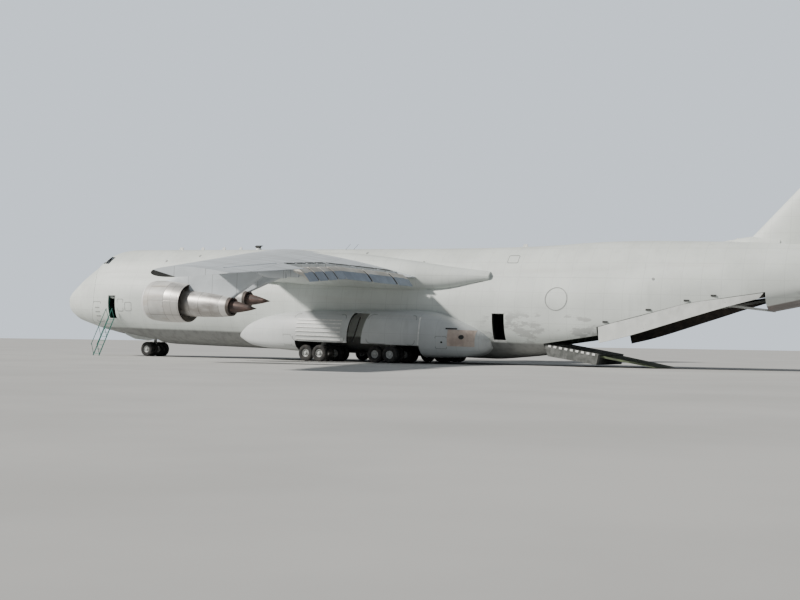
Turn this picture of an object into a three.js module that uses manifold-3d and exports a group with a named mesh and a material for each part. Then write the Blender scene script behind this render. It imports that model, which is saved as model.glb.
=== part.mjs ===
import * as THREE from 'three';
import { mergeVertices } from 'three/addons/utils/BufferGeometryUtils.js';
import Module from 'manifold-3d';

// Four-engined military transport with a lifting nose and a rear ramp, kneeling on its gear.
// Lengths are full-size millimetres in the aircraft's own frame: x = -station (station 0 is the
// nose tip), y to the left, z up from the ground under the main wheels. The whole is shown at 1:2.

const wasm = await Module();
wasm.setup();

const MODEL_SCALE = 0.5;
const NOSE_TO_MAIN_WHEELS = 32545;
const PITCH = THREE.MathUtils.degToRad(1.3);
const GAP = 1.6;
const HINGE_GAP = 24;

// Fuselage
const DECK = 1950;
const CEILING = 6060;
const HOLD_WALL = 240;
const CREASE_SHARE = 0.51;
const CREASE_WIDTH = 0.776;
const FORWARD_JOIN = 19000;
const AFT_JOIN = 41500;
const BAY_END = 61300;

// Wing
const WING_ROOT = 300;
const WING_TIP = 33950;
const FLAP_INNER = 4700;
const FLAP_KINK = 13600;
const FLAP_OUTER = 21400;
const FLAP_DROP = THREE.MathUtils.degToRad(22);
const FLAP_PIVOT_DEPTH = 1150;

// Wheels
const TYRE_RADIUS = 622.5;
const TYRE_WIDTH = 430;
const WHEEL_SIDES = 14;
const AXLE_HEIGHT = TYRE_RADIUS * Math.cos(Math.PI / WHEEL_SIDES);

const paint = { color: 0xc9ccc8, roughness: 0.55, metalness: 0.0 };
const belly = { color: 0x9b9d9b, roughness: 0.6, metalness: 0.0 };
const bare = { color: 0xb4b4b0, roughness: 0.35, metalness: 0.8 };
const hot = { color: 0x4a4340, roughness: 0.5, metalness: 0.7 };
const rubber = { color: 0x1b1b1c, roughness: 0.85, metalness: 0.0 };
const green = { color: 0x4f9a86, roughness: 0.6, metalness: 0.0 };
const dark = { color: 0x2c302d, roughness: 0.8, metalness: 0.0 };

// Closed meshes and their joins

function outward(geometry) {
  const g = geometry.clone();
  for (const name of Object.keys(g.attributes)) {
    if (name !== 'position') {
      g.deleteAttribute(name);
    }
  }
  const merged = mergeVertices(g, 1e-2);
  const p = merged.attributes.position;
  const kept = [];
  let volume = 0;
  const a = new THREE.Vector3();
  const b = new THREE.Vector3();
  const c = new THREE.Vector3();
  for (let i = 0; i < merged.index.count; i += 3) {
    const corner = [0, 1, 2].map((k) => merged.index.getX(i + k));
    if (corner[0] === corner[1] || corner[1] === corner[2] || corner[2] === corner[0]) {
      continue;
    }
    kept.push(corner);
    a.fromBufferAttribute(p, corner[0]);
    b.fromBufferAttribute(p, corner[1]);
    c.fromBufferAttribute(p, corner[2]);
    volume += a.dot(b.cross(c));
  }
  merged.setIndex(kept.flatMap(([i, j, k]) => (volume > 0 ? [i, j, k] : [i, k, j])));
  return merged;
}

function solidOf(geometry) {
  const g = outward(geometry);
  return new wasm.Manifold(new wasm.Mesh({
    numProp: 3,
    vertProperties: Float32Array.from(g.attributes.position.array),
    triVerts: Uint32Array.from(g.index.array),
  }));
}

function geometryOf(solid) {
  const mesh = solid.getMesh();
  const g = new THREE.BufferGeometry();
  g.setAttribute('position', new THREE.BufferAttribute(Float32Array.from(mesh.vertProperties), 3));
  g.setIndex([...mesh.triVerts]);
  return g;
}

function cut(base, ...tools) {
  return geometryOf(tools.reduce((solid, tool) => solid.subtract(solidOf(tool)), solidOf(base)));
}

function join(base, ...others) {
  return geometryOf(others.reduce((solid, other) => solid.add(solidOf(other)), solidOf(base)));
}

function overlap(base, tool) {
  return geometryOf(solidOf(base).intersect(solidOf(tool)));
}

// A skin through rings of points, closed by a flat face at each end. `drop` names the axis that
// the end faces look along. The facets of the ring's second half mirror those of its first.
function loft(rings, drop) {
  const count = rings[0].length;
  const positions = rings.flat(2);
  const index = [];
  for (let k = 0; k + 1 < rings.length; k += 1) {
    for (let i = 0; i < count; i += 1) {
      const j = (i + 1) % count;
      const [a, b, c, d] = [k * count + i, k * count + j, (k + 1) * count + i, (k + 1) * count + j];
      index.push(...(i < count / 2 ? [a, b, c, b, d, c] : [a, b, d, a, d, c]));
    }
  }
  const axes = { x: [1, 2], y: [0, 2], z: [0, 1] }[drop];
  [0, rings.length - 1].forEach((k) => {
    const flat = rings[k].map((q) => new THREE.Vector2(q[axes[0]], q[axes[1]]));
    const turn = Math.sign(THREE.ShapeUtils.area(flat));
    for (const [i, j, m] of THREE.ShapeUtils.triangulateShape(flat, [])) {
      const facet = Math.sign(THREE.ShapeUtils.area([flat[i], flat[j], flat[m]]));
      const along = facet === turn ? [i, j, m] : [i, m, j];
      const face = k === 0 ? along.reverse() : along;
      index.push(...face.map((v) => k * count + v));
    }
  });
  const g = new THREE.BufferGeometry();
  g.setAttribute('position', new THREE.BufferAttribute(new Float32Array(positions), 3));
  g.setIndex(index);
  return outward(g);
}

// Prisms: `side` takes (station, height) outlines, `plan` (station, y) and `front` (y, height)
function side(outline, fromY, toY) {
  return loft([fromY, toY].map((y) => outline.map(([s, z]) => [-s, y, z])), 'y');
}

function plan(outline, fromZ, toZ) {
  return loft([fromZ, toZ].map((z) => outline.map(([s, y]) => [-s, y, z])), 'z');
}

function front(outline, fromS, toS) {
  return loft([fromS, toS].map((s) => outline.map(([y, z]) => [-s, y, z])), 'x');
}

function block(fromS, toS, fromY, toY, fromZ, toZ) {
  return side([[fromS, fromZ], [toS, fromZ], [toS, toZ], [fromS, toZ]], fromY, toY);
}

function mirrored(geometry) {
  return outward(geometry.clone().scale(1, -1, 1));
}

function turned(geometry, point, axis, angle) {
  const direction = new THREE.Vector3(...axis).normalize();
  const matrix = new THREE.Matrix4().makeTranslation(...point)
    .multiply(new THREE.Matrix4().makeRotationAxis(direction, angle))
    .multiply(new THREE.Matrix4().makeTranslation(-point[0], -point[1], -point[2]));
  return geometry.clone().applyMatrix4(matrix);
}

function rod(from, to, radius, sides = 8) {
  const a = new THREE.Vector3(...from);
  const b = new THREE.Vector3(...to);
  const g = new THREE.CylinderGeometry(radius, radius, a.distanceTo(b), sides);
  const along = new THREE.Quaternion().setFromUnitVectors(new THREE.Vector3(0, 1, 0),
    b.clone().sub(a).normalize());
  return g.applyQuaternion(along).translate(...a.add(b).multiplyScalar(0.5).toArray());
}

function between(rows, key, value) {
  const last = rows.length - 2;
  const k = Math.min(last, Math.max(0, rows.findIndex((row) => row[key] > value) - 1));
  const t = (value - rows[k][key]) / (rows[k + 1][key] - rows[k][key]);
  return rows[k].map((low, i) => low + (rows[k + 1][i] - low) * t);
}

// Where a point above the ground lies in the aircraft's frame, x ahead of the main wheels
function fromGround(x, y, z) {
  return [
    x * Math.cos(PITCH) + z * Math.sin(PITCH) - NOSE_TO_MAIN_WHEELS,
    y,
    z * Math.cos(PITCH) - x * Math.sin(PITCH),
  ];
}

const aircraft = new THREE.Group();

function piece(name, geometry, finish) {
  const closed = outward(geometry);
  closed.computeVertexNormals();
  const mesh = new THREE.Mesh(closed, new THREE.MeshStandardMaterial(finish));
  mesh.name = name;
  aircraft.add(mesh);
}

// Fuselage sections, front to back. lobe 1 is a full crease between the two lobes, 0 is none.
// The power is that of the lower lobe's superellipse: 2 is an ellipse, more is squarer.
// station, belly, top, height of the greatest width, half width, lobe, power
const SECTIONS = [
  [650, 4005, 4135, 4080, 70, 0, 2.3],
  [730, 3570, 4370, 4050, 385, 0, 2.3],
  [930, 3150, 4660, 4030, 735, 0, 2.3],
  [1220, 2870, 4880, 4020, 1055, 0, 2.3],
  [1650, 2660, 5200, 4010, 1395, 0, 2.3],
  [2410, 2305, 5740, 4000, 1865, 0, 2.3],
  [3240, 2095, 6340, 4000, 2275, 0, 2.3],
  [4040, 1900, 6860, 4005, 2565, 0, 2.3],
  [4590, 1760, 7205, 4020, 2720, 0.1, 2.3],
  [5010, 1680, 7565, 4030, 2815, 0.25, 2.3],
  [5470, 1580, 7895, 4040, 2935, 0.4, 2.3],
  [5940, 1505, 8125, 4060, 3060, 0.55, 2.3],
  [7050, 1310, 8415, 4100, 3310, 0.8, 2.3],
  [8120, 1170, 8510, 4120, 3450, 0.95, 2.3],
  [10170, 870, 8520, 4150, 3540, 1, 2.3],
  [12740, 620, 8530, 4170, 3570, 1, 2.3],
  [19000, 600, 8550, 4170, 3570, 1, 2.3],
  [26240, 600, 8580, 4170, 3570, 1, 2.3],
  [36000, 600, 8620, 4170, 3570, 1, 2.3],
  [41500, 600, 8690, 4170, 3570, 1, 2.3],
  [44020, 830, 8760, 4190, 3570, 1, 2.5],
  [46400, 1180, 8870, 4260, 3570, 1, 3.0],
  [48530, 1640, 9030, 4340, 3550, 1, 3.6],
  [50700, 2110, 9120, 4480, 3490, 1, 4.0],
  [52820, 2600, 9150, 4760, 3390, 0.85, 4.0],
  [55580, 3250, 9120, 5250, 3160, 0.6, 3.6],
  [58500, 3920, 9080, 5750, 2820, 0.3, 3.2],
  [61300, 4530, 9030, 6150, 2420, 0.1, 2.8],
  [63600, 5040, 8940, 6480, 2030, 0, 2.5],
  [66000, 5620, 8790, 6850, 1540, 0, 2.3],
  [68300, 6230, 8560, 7200, 960, 0, 2.3],
  [69800, 6700, 8300, 7480, 500, 0, 2.3],
  [70300, 7050, 8000, 7530, 180, 0, 2.3],
];

function sectionRing([station, low, top, middle, half, lobe, squareness], inset) {
  const [bottom, crown, wide] = [low + inset, top - inset, half - inset];
  const crease = middle + CREASE_SHARE * (crown - middle);
  const creaseWidth = CREASE_WIDTH * wide;
  const sideReach = (crease - middle) / Math.sqrt(1 - CREASE_WIDTH ** 2);
  const rise = crown - crease;
  const radius = (creaseWidth ** 2 + rise ** 2) / (2 * rise);
  const centre = crown - radius;
  const start = Math.atan2(crease - centre, creaseWidth);
  const power = 2 / squareness;
  const smooth = (z) => wide * Math.sqrt(Math.max(0, 1 - ((z - middle) / (crown - middle)) ** 2));
  const half1 = [];
  for (let k = 0; k <= 5; k += 1) {
    const turn = (k / 5) * Math.PI / 2;
    const z = middle - (middle - bottom) * Math.max(0, Math.cos(turn)) ** power;
    half1.push([wide * Math.sin(turn) ** power, z]);
  }
  for (let k = 1; k <= 2; k += 1) {
    const z = middle + (crease - middle) * (k / 2);
    const round = wide * Math.sqrt(1 - ((z - middle) / sideReach) ** 2);
    half1.push([lobe * round + (1 - lobe) * smooth(z), z]);
  }
  for (let k = 1; k <= 5; k += 1) {
    const turn = start + (Math.PI / 2 - start) * (k / 5);
    const z = centre + radius * Math.sin(turn);
    half1.push([lobe * Math.max(0, radius * Math.cos(turn)) + (1 - lobe) * smooth(z), z]);
  }
  half1[0][0] = 0;
  half1[half1.length - 1][0] = 0;
  const other = half1.slice(1, -1).reverse().map(([y, z]) => [-y, z]);
  return [...half1, ...other].map(([y, z]) => [-station, y, z]);
}

function bodyLoft(inset, fromS = -1, toS = 1e6) {
  const rows = SECTIONS.filter((row) => row[0] > fromS && row[0] < toS && row[4] > inset + 60);
  const ends = [fromS, toS].filter((s) => s > 0 && s < 1e5).map((s) => between(SECTIONS, 0, s));
  return loft([...rows, ...ends].sort((a, b) => a[0] - b[0]).map((row) => sectionRing(row, inset)), 'x');
}

// Lifting nose: its rear edge, from the hinge on top down to the belly
const VISOR_HINGE = [4850, 7450];
const VISOR_EDGE = [VISOR_HINGE, [4980, 7150], [5350, 6150], [5680, 5000], [5740, 4050],
  [5420, 3050], [4880, 2100], [4500, 1300]];
const ahead = [[0, 1000], [0, 9000], [VISOR_HINGE[0], 9000], ...VISOR_EDGE, [4500, 1000]];
const aheadWithGap = ahead.map(([s, z]) => [s + HINGE_GAP, z]);

const body = bodyLoft(0);
const FULL_HALF = 4000;
const noseShell = cut(overlap(body, side(ahead, -FULL_HALF, FULL_HALF)), bodyLoft(HOLD_WALL, -1, 7000));

// Hold and the door bay behind it
const holdBlock = block(4000, 62000, -FULL_HALF, FULL_HALF, DECK, CEILING);
const holdSpace = overlap(bodyLoft(HOLD_WALL, 4300, BAY_END), holdBlock);
const RAMP_HINGE = [46400, 1860];
const SILL_AFT = [50350, 2560];
const PETAL_LINE = [SILL_AFT, [50350, 3120], [56300, 4850], [61100, 5680]];
const BAY_UNDER = [[RAMP_HINGE[0] - HINGE_GAP, 900], RAMP_HINGE, ...PETAL_LINE, [61100, 900]];
const bayOpening = side(BAY_UNDER, -FULL_HALF, FULL_HALF);
const hold = join(holdSpace, bayOpening);

// Windows of the cockpit: one band in side view, parted by posts
const WINDOW_BAND = [[4100, 7620], [5040, 7600], [5330, 7240], [6450, 7200], [6800, 7780], [5900, 7860],
  [5560, 7960], [4100, 7960]];
const CENTRE_POST = 55;
const FRONT_POST = [760, 870];
const SIDE_POST = [5730, 5830];
const inBandHeight = (fromS, toS, fromY, toY) => block(fromS, toS, fromY, toY, 7000, 8400);
const posts = [
  inBandHeight(4000, 7000, -CENTRE_POST, CENTRE_POST),
  inBandHeight(4000, SIDE_POST[0], FRONT_POST[0], FRONT_POST[1]),
  inBandHeight(4000, SIDE_POST[0], -FRONT_POST[1], -FRONT_POST[0]),
  inBandHeight(SIDE_POST[0], SIDE_POST[1], FRONT_POST[1], FULL_HALF),
  inBandHeight(SIDE_POST[0], SIDE_POST[1], -FULL_HALF, -FRONT_POST[1]),
];
const WINDOW_WALL = 130;
const CABIN_FLOOR = 6620;
const CABIN = [[5900, CABIN_FLOOR], [5150, 7330], [5150, 8400], [9600, 8400], [9600, CABIN_FLOOR]];
const cabin = overlap(bodyLoft(WINDOW_WALL, 4300, 9700), side(CABIN, -3200, 3200));
const windowCutter = cut(side(WINDOW_BAND, -FULL_HALF, FULL_HALF), ...posts);

// Doorways in the sides: station from, to, height from, to
const CREW_DOOR = [7710, 8500, 2600, 4480];
const TROOP_DOOR = [42760, 43670, 2000, 3830];
const DOOR_REACH = [1500, FULL_HALF];
function doorway([from, to, low, high], grow) {
  return block(from - grow, to + grow, DOOR_REACH[0], DOOR_REACH[1], low - grow, high + grow);
}

// Bay of the nose gear: station from, to, half width, roof height
const NOSE_BAY = [7750, 11750, 1560, 1740];
const noseBay = block(NOSE_BAY[0], NOSE_BAY[1], -NOSE_BAY[2], NOSE_BAY[2], 0, NOSE_BAY[3]);

const shell = cut(body, side(aheadWithGap, -FULL_HALF, FULL_HALF), hold, cabin, windowCutter,
  doorway(CREW_DOOR, 0), doorway(TROOP_DOOR, 0), noseBay);

function slab(fromS, toS) {
  return block(fromS, toS, -4500, 4500, 0, 10000);
}

piece('nose_visor', noseShell, paint);
piece('fuselage_forward', overlap(shell, slab(4000, FORWARD_JOIN - GAP)), paint);
piece('fuselage_centre', overlap(shell, slab(FORWARD_JOIN, AFT_JOIN - GAP)), paint);
piece('fuselage_aft', overlap(shell, slab(AFT_JOIN, 70400)), paint);

// Cockpit glass, one band behind the posts, and what is seen through it
const GLASS_BAND = [[5170, 7560], [5330, 7190], [6560, 7150], [6900, 7870], [5900, 7950], [5560, 8060],
  [5170, 8060]];
const GLASS_INSETS = [WINDOW_WALL + 12, WINDOW_WALL + 60];
const glassSkin = cut(bodyLoft(GLASS_INSETS[0], 4300, 9700), bodyLoft(GLASS_INSETS[1], 4300, 9700));
const glass = overlap(glassSkin, side(GLASS_BAND, -3200, 3200));
piece('cockpit_glass', glass, { color: 0x1d2730, roughness: 0.08, metalness: 0.0 });
const SEAT_FRONT = 6650;
const SEAT_Y = 640;
function seat(y) {
  const low = CABIN_FLOOR + 20;
  const cushion = block(SEAT_FRONT, SEAT_FRONT + 550, y - 260, y + 260, low, low + 410);
  const back = block(SEAT_FRONT + 450, SEAT_FRONT + 580, y - 240, y + 240, low + 260, low + 960);
  return join(cushion, back);
}
const cabinFloor = block(5950, 8300, -1200, 1200, CABIN_FLOOR + 2, CABIN_FLOOR + 60);
const PANEL = [[5960, 6640], [5820, 7180], [6020, 7260], [6250, 7150], [6180, 6640]];
const cabinInside = join(cabinFloor, side(PANEL, -1150, 1150), seat(SEAT_Y), seat(-SEAT_Y));
piece('cockpit_interior', cabinInside, dark);

// Forward ramp, folded upright behind the nose
const RAMP_STOWED = [6050, 6330];
const RAMP_RIB_Y = [-1900, -950, 0, 950, 1900];
const stowedRamp = block(RAMP_STOWED[0], RAMP_STOWED[1], -2450, 2450, DECK + 4, 5700);
const RIB_STATIONS = [RAMP_STOWED[1] - 1, RAMP_STOWED[1] + 90];
const rampRibs = RAMP_RIB_Y.map((y) => block(...RIB_STATIONS, y - 60, y + 60, 2100, 5600));
const rampRoom = bodyLoft(HOLD_WALL + 30, 4300, 9000);
piece('forward_ramp', overlap(join(stowedRamp, ...rampRibs), rampRoom), belly);

// Crew door, swung up inside about its top edge, and the ladder hung on its sill
const CREW_HINGE = [3208, 4440];
const CREW_OPEN = THREE.MathUtils.degToRad(80);
const DOOR_CLEAR = 16;
const doorSkin = cut(bodyLoft(20, 7000, 9000), bodyLoft(150, 7000, 9000));
const crewDoorClosed = overlap(doorSkin, doorway(CREW_DOOR, -DOOR_CLEAR));
piece('crew_door', turned(crewDoorClosed, [0, ...CREW_HINGE], [1, 0, 0], -CREW_OPEN), paint);

// Troop door on the left, pulled in and slid up inside its doorway
const TROOP_DOOR_UP = [42760, 43670, 3900, 5700];
const TROOP_DOOR_OVERLAP = 60;
const troopSkin = cut(bodyLoft(270, 42000, 45000), bodyLoft(350, 42000, 45000));
piece('troop_door_left', overlap(troopSkin, doorway(TROOP_DOOR_UP, TROOP_DOOR_OVERLAP)), paint);

// Ladder from the crew door down to the ground
const LADDER_TOP = [-8090, 3330, 2640];
const LADDER_FOOT = fromGround(25080, 4330, 20);
const LADDER_HALF = 310;
const RUNGS = 9;
const HANDRAIL_TOP = [330, 760];
const HANDRAIL_FOOT = [300, 900];
function ladderAt(t, dx, out, up) {
  const [x, y, z] = LADDER_TOP.map((v, i) => v + (LADDER_FOOT[i] - v) * t);
  return [x + dx, y + out, z + up];
}
const handrailAt = (t, dx) => ladderAt(t, dx, ...HANDRAIL_TOP.map((v, i) => v + (HANDRAIL_FOOT[i] - v) * t));
const rails = [-LADDER_HALF, LADDER_HALF].flatMap((dx) => [
  rod(ladderAt(0, dx, 0, 0), ladderAt(1, dx, 0, 0), 56, 4),
  rod(handrailAt(0, dx), handrailAt(1, dx), 36, 4),
]);
const rungs = [...Array(RUNGS).keys()].map((k) => {
  const [x, y, z] = ladderAt((k + 0.5) / RUNGS, 0, 0, 0);
  return block(-x - LADDER_HALF, -x + LADDER_HALF, y - 60, y + 60, z - 18, z + 18);
});
const STANCHIONS = [0.02, 0.5, 0.97];
const stanchions = [-LADDER_HALF, LADDER_HALF].flatMap((dx) => STANCHIONS
  .map((t) => rod(ladderAt(t, dx, 0, 0), handrailAt(t, dx), 30, 4)));
const ladder = join(rails[0], ...rungs, ...rails.slice(1), ...stanchions);
piece('crew_ladder', cut(ladder, bodyLoft(-3, 7000, 9400)), green);

// Rear ramp, let down about its front edge. Its top runs down at RAMP_SLOPE, and the toe that
// reaches the ground slides out of a pocket under the top.
const RAMP_HALF = 2780;
const RAMP_LENGTH = 3980;
const RAMP_SLOPE = THREE.MathUtils.degToRad(8);
const onRamp = (along, down) => [
  RAMP_HINGE[0] + along * Math.cos(RAMP_SLOPE) - down * Math.sin(RAMP_SLOPE),
  RAMP_HINGE[1] - along * Math.sin(RAMP_SLOPE) - down * Math.cos(RAMP_SLOPE),
];
const TOE_HALF = 2300;
const TOE_REACH = 3830;
const TOE_HELD = 20;
const TOE_DEPTH = [110, 250];
const rampSide = [onRamp(24, 14), [46700, 1010], [50200, 560], onRamp(RAMP_LENGTH, 14)];
const POCKET_START = 170;
const POCKET_GAP = 12;
const POCKET_DEPTH = [TOE_DEPTH[0] - POCKET_GAP, TOE_DEPTH[1] + POCKET_GAP];
const PAST_RAMP = RAMP_LENGTH + 400;
const pocketSide = [onRamp(POCKET_START, POCKET_DEPTH[0]), onRamp(PAST_RAMP, POCKET_DEPTH[0]),
  onRamp(PAST_RAMP, POCKET_DEPTH[1]), onRamp(POCKET_START, POCKET_DEPTH[1])];
const toePocket = side(pocketSide, -TOE_HALF - POCKET_GAP, TOE_HALF + POCKET_GAP);
piece('aft_ramp', cut(side(rampSide, -RAMP_HALF, RAMP_HALF), toePocket), belly);
const TOE_EDGE = 40;
const TOE_ENDS = [RAMP_LENGTH - TOE_HELD, RAMP_LENGTH + TOE_REACH];
const toeSide = [onRamp(TOE_ENDS[0], TOE_DEPTH[0]), onRamp(TOE_ENDS[0], TOE_DEPTH[1]),
  onRamp(TOE_ENDS[1], TOE_DEPTH[1]), onRamp(TOE_ENDS[1], TOE_DEPTH[1] - TOE_EDGE)];
piece('ramp_toe', side(toeSide, -TOE_HALF, TOE_HALF), belly);

// Side doors of the bay, hanging open from their upper edges
// upper edge: station, y, height; lower edge: station, y, height
const PETAL = [
  [50460, 3440, 3120, 50640, 3700, 2060],
  [52040, 3370, 3590, 52040, 3640, 2420],
  [56300, 3070, 4820, 56300, 3290, 3830],
  [58730, 2770, 5240, 58730, 2930, 4650],
  [61000, 2440, 5630, 60700, 2480, 5250],
];
const PETAL_THICK = 110;
const PETAL_BEVEL = 310;
const petal = loft(PETAL.map(([s1, y1, z1, s2, y2, z2]) => [
  [-s1, y1, z1], [-s2, y2, z2], [-s2, y2 - PETAL_THICK, z2], [-s1, y1 - PETAL_THICK, z1 - PETAL_BEVEL],
]), 'x');
piece('petal_door_left', petal, paint);
piece('petal_door_right', mirrored(petal), paint);

// Centre door of the bay, raised inside about its rear edge
const CENTRE_HINGE = [61000, 4560];
const CENTRE_RAISED = THREE.MathUtils.degToRad(5.5);
const CENTRE_HEIGHTS = [CENTRE_HINGE[1] - 65, CENTRE_HINGE[1] + 65];
// corners of one half: station, y
const CENTRE_CORNERS = [[50600, 2400], [60980, 1800]];
const centreOutline = [...CENTRE_CORNERS, ...CENTRE_CORNERS.toReversed().map(([s, y]) => [s, -y])];
const centrePivot = [-CENTRE_HINGE[0], 0, CENTRE_HINGE[1]];
const centreDoor = turned(plan(centreOutline, ...CENTRE_HEIGHTS), centrePivot, [0, 1, 0], -CENTRE_RAISED);
piece('centre_cargo_door', centreDoor, paint);

// Pressure door, swung up forward under the ceiling about its top edge
const PRESSURE_HINGE = [50400, 5900];
piece('pressure_door', block(47200, PRESSURE_HINGE[0], -2450, 2450, 5800, 5930), belly);

// Wing sections: y, leading edge station and height, trailing edge station and height, thickness
// share, and how far the lower side is set in from y
const WING = [
  [WING_ROOT, 20055, 7920, 36915, 6255, 0.106, 0],
  [4000, 21990, 7590, 36850, 6280, 0.106, 0],
  [FLAP_KINK, 27005, 6710, 36600, 6340, 0.118, 0],
  [22000, 31395, 5940, 38855, 5790, 0.115, 0],
  [WING_TIP, 37640, 4850, 42415, 4880, 0.11, 420],
];

// Half thickness of a section at a share of its chord, for a thickness share of 1
function foilHalf(share) {
  const t = share;
  return 5 * (0.2969 * Math.sqrt(t) - 0.126 * t - 0.3516 * t ** 2 + 0.2843 * t ** 3 - 0.1015 * t ** 4) + 0.006;
}

const CHORD_STEPS = 8;
const CAMBER = 0.014;
function foil(thickness, camber) {
  const upper = [];
  const lower = [];
  for (let k = 0; k <= CHORD_STEPS; k += 1) {
    const share = (1 - Math.cos((k / CHORD_STEPS) * Math.PI)) / 2;
    const half = thickness * foilHalf(share);
    const bow = camber * 4 * share * (1 - share);
    upper.push([share, bow + half]);
    lower.push([share, bow - half]);
  }
  upper[0][1] = 0;
  return [...upper.reverse(), ...lower.slice(1)];
}

function wingLoft(rows) {
  return loft(rows.map(([y, frontS, frontZ, backS, backZ, thickness, tuck]) => {
    const chord = backS - frontS;
    return foil(thickness, CAMBER).map(([share, up], i) => [
      -(frontS + chord * share), i > CHORD_STEPS ? y - tuck : y, frontZ + (backZ - frontZ) * share + chord * up,
    ]);
  }), 'y');
}

// Station and height on the chord line at a share of the chord
function onWing(y, share) {
  const [, frontS, frontZ, backS, backZ] = between(WING, 0, y);
  return [-(frontS + (backS - frontS) * share), y, frontZ + (backZ - frontZ) * share];
}

// A hinged surface: the tool is a wedge whose edge lies on the hinge line, the slot is flat in front
function wedge(a, b, aft, up, slope) {
  const ring = ([x, y, z]) => {
    const at = (back, rise) => [
      x + aft[0] * back + up[0] * rise, y + aft[1] * back + up[1] * rise, z + aft[2] * back + up[2] * rise,
    ];
    return [at(0, 0), at(slope * 700, 700), at(9000, 700), at(9000, -700), at(slope * 700, -700)];
  };
  return loft([ring(a), ring(b)], Math.abs(b[1] - a[1]) > Math.abs(b[2] - a[2]) ? 'y' : 'z');
}

function slot(a, b, aft, up) {
  const ring = ([x, y, z]) => {
    const at = (back, rise) => [
      x + aft[0] * back + up[0] * rise, y + aft[1] * back + up[1] * rise, z + aft[2] * back + up[2] * rise,
    ];
    return [at(-HINGE_GAP, 700), at(9000, 700), at(9000, -700), at(-HINGE_GAP, -700)];
  };
  return loft([ring(a), ring(b)], Math.abs(b[1] - a[1]) > Math.abs(b[2] - a[2]) ? 'y' : 'z');
}

const AFT = [-1, 0, 0];
const UP = [0, 0, 1];
const FLAP_FRONT = [[FLAP_INNER, 0.915], [FLAP_KINK - 90, 0.87], [FLAP_KINK + 90, 0.87], [FLAP_OUTER, 0.82]];
const FLAP_END_GAP = 180;
const FLAP_FRONT_GAP = 40;
const flapLine = FLAP_FRONT.map(([y, share]) => onWing(y, share));
const aileronLine = [onWing(22100, 0.76), onWing(31600, 0.74)];

function flapRegion(a, b) {
  return plan([[-a[0], a[1]], [-b[0], b[1]], [44000, b[1]], [44000, a[1]]], 3000, 10000);
}

const wingBlank = wingLoft(WING);
const aftOf = ([x, y, z]) => [x - FLAP_FRONT_GAP, y, z];
const flapPanels = [[flapLine[0], flapLine[1]], [flapLine[2], flapLine[3]]]
  .map(([a, b]) => overlap(wingBlank, flapRegion(aftOf(a), aftOf(b))));
const beyond = (a, b, by) => a.map((v, i) => v + (b[i] - v) * (by / (b[1] - a[1])));
const wingBays = [
  flapRegion(beyond(flapLine[0], flapLine[1], -FLAP_END_GAP), flapLine[1]),
  flapRegion(flapLine[1], beyond(flapLine[3], flapLine[2], FLAP_END_GAP)),
];
const aileron = overlap(wingBlank, wedge(aileronLine[0], aileronLine[1], AFT, UP, 0.5));
const SWEPT_END_GAP = 110;
const AILERON_INNER_GAP = 60;
const aileronSlot = slot(beyond(...aileronLine, -AILERON_INNER_GAP),
  beyond(...aileronLine.toReversed(), SWEPT_END_GAP), AFT, UP);

// Engines: name, y, station and height of the inlet's centre. Side -1 is a mirrored copy.
const ENGINES = [
  ['outboard', 18900, 25400, 3830],
  ['inboard', 12000, 21690, 4480],
];
const ENGINE_TILT = THREE.MathUtils.degToRad(2.6);

// Lathed about the engine's axis: distance behind the inlet lip, radius
const COWL = [[0, 1150], [70, 1215], [300, 1285], [1150, 1330], [2100, 1305], [3000, 1225], [3000, 1195],
  [1300, 1110], [300, 1070]];
const CORE = [[1480, 0], [1480, 560], [2300, 760], [3200, 830], [4300, 795], [5300, 730], [6420, 585],
  [6400, 480], [6200, 400], [7000, 300], [8250, 0]];
const FAN = [[700, 0], [900, 190], [1180, 330], [1440, 340], [1440, 0]];
const FAN_SIDES = 12;
const ENGINE_SIDES = 18;

function spun(profile, sides) {
  const points = profile.map(([along, radius]) => new THREE.Vector2(radius, -along));
  if (profile[0][1] > 0) {
    points.push(points[0].clone());
  }
  return outward(new THREE.LatheGeometry(points, sides).rotateZ(-Math.PI / 2));
}

function placeEngine(geometry, [, y, station, height]) {
  return geometry.clone().rotateY(-ENGINE_TILT).translate(-station, y, height);
}

const STRUTS = 6;
const struts = [...Array(STRUTS).keys()].map((k) => block(1560, 1760, -22, 22, 380, 1150)
  .rotateX((k + 0.5) * 2 * Math.PI / STRUTS));
const nacelle = join(spun(COWL, ENGINE_SIDES), spun(CORE, ENGINE_SIDES), ...struts);

const BLADES = 12;
// Blade root and tip: radius, angle to the engine's axis
const BLADE_ENDS = [[300, 0.75], [1040, 1.15]];
const BLADE_CHORD = 200;
const BLADE_STATION = 1230;
const blade = loft(BLADE_ENDS.map(([radius, swing]) => {
  const dx = BLADE_CHORD * Math.cos(swing) / 2;
  const dy = BLADE_CHORD * Math.sin(swing) / 2;
  return [[dx, -dy], [8, 9], [-dx, dy], [-8, -9]].map(([x, y]) => [x - BLADE_STATION, y, radius]);
}), 'z');
const fanBlades = [...Array(BLADES).keys()].map((k) => blade.clone().rotateX(k * 2 * Math.PI / BLADES));
const fan = join(spun(FAN, FAN_SIDES), ...fanBlades);

// Pylon in side view, station and height before the wing's own rise is added
function pylon([, y, station, height]) {
  const top = onWing(y, 0);
  const under = onWing(y, 0.55);
  const outline = [
    [station + 700, height + 1180], [-top[0] - 900, top[2] - 260], [-top[0] + 300, top[2] + 120],
    [-under[0], under[2] + 100], [-under[0] + 300, under[2] - 250], [station + 6300, height + 160],
    [station + 3600, height + 250], [station + 1600, height + 1180],
  ];
  return side(outline, y - 190, y + 190);
}

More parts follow.
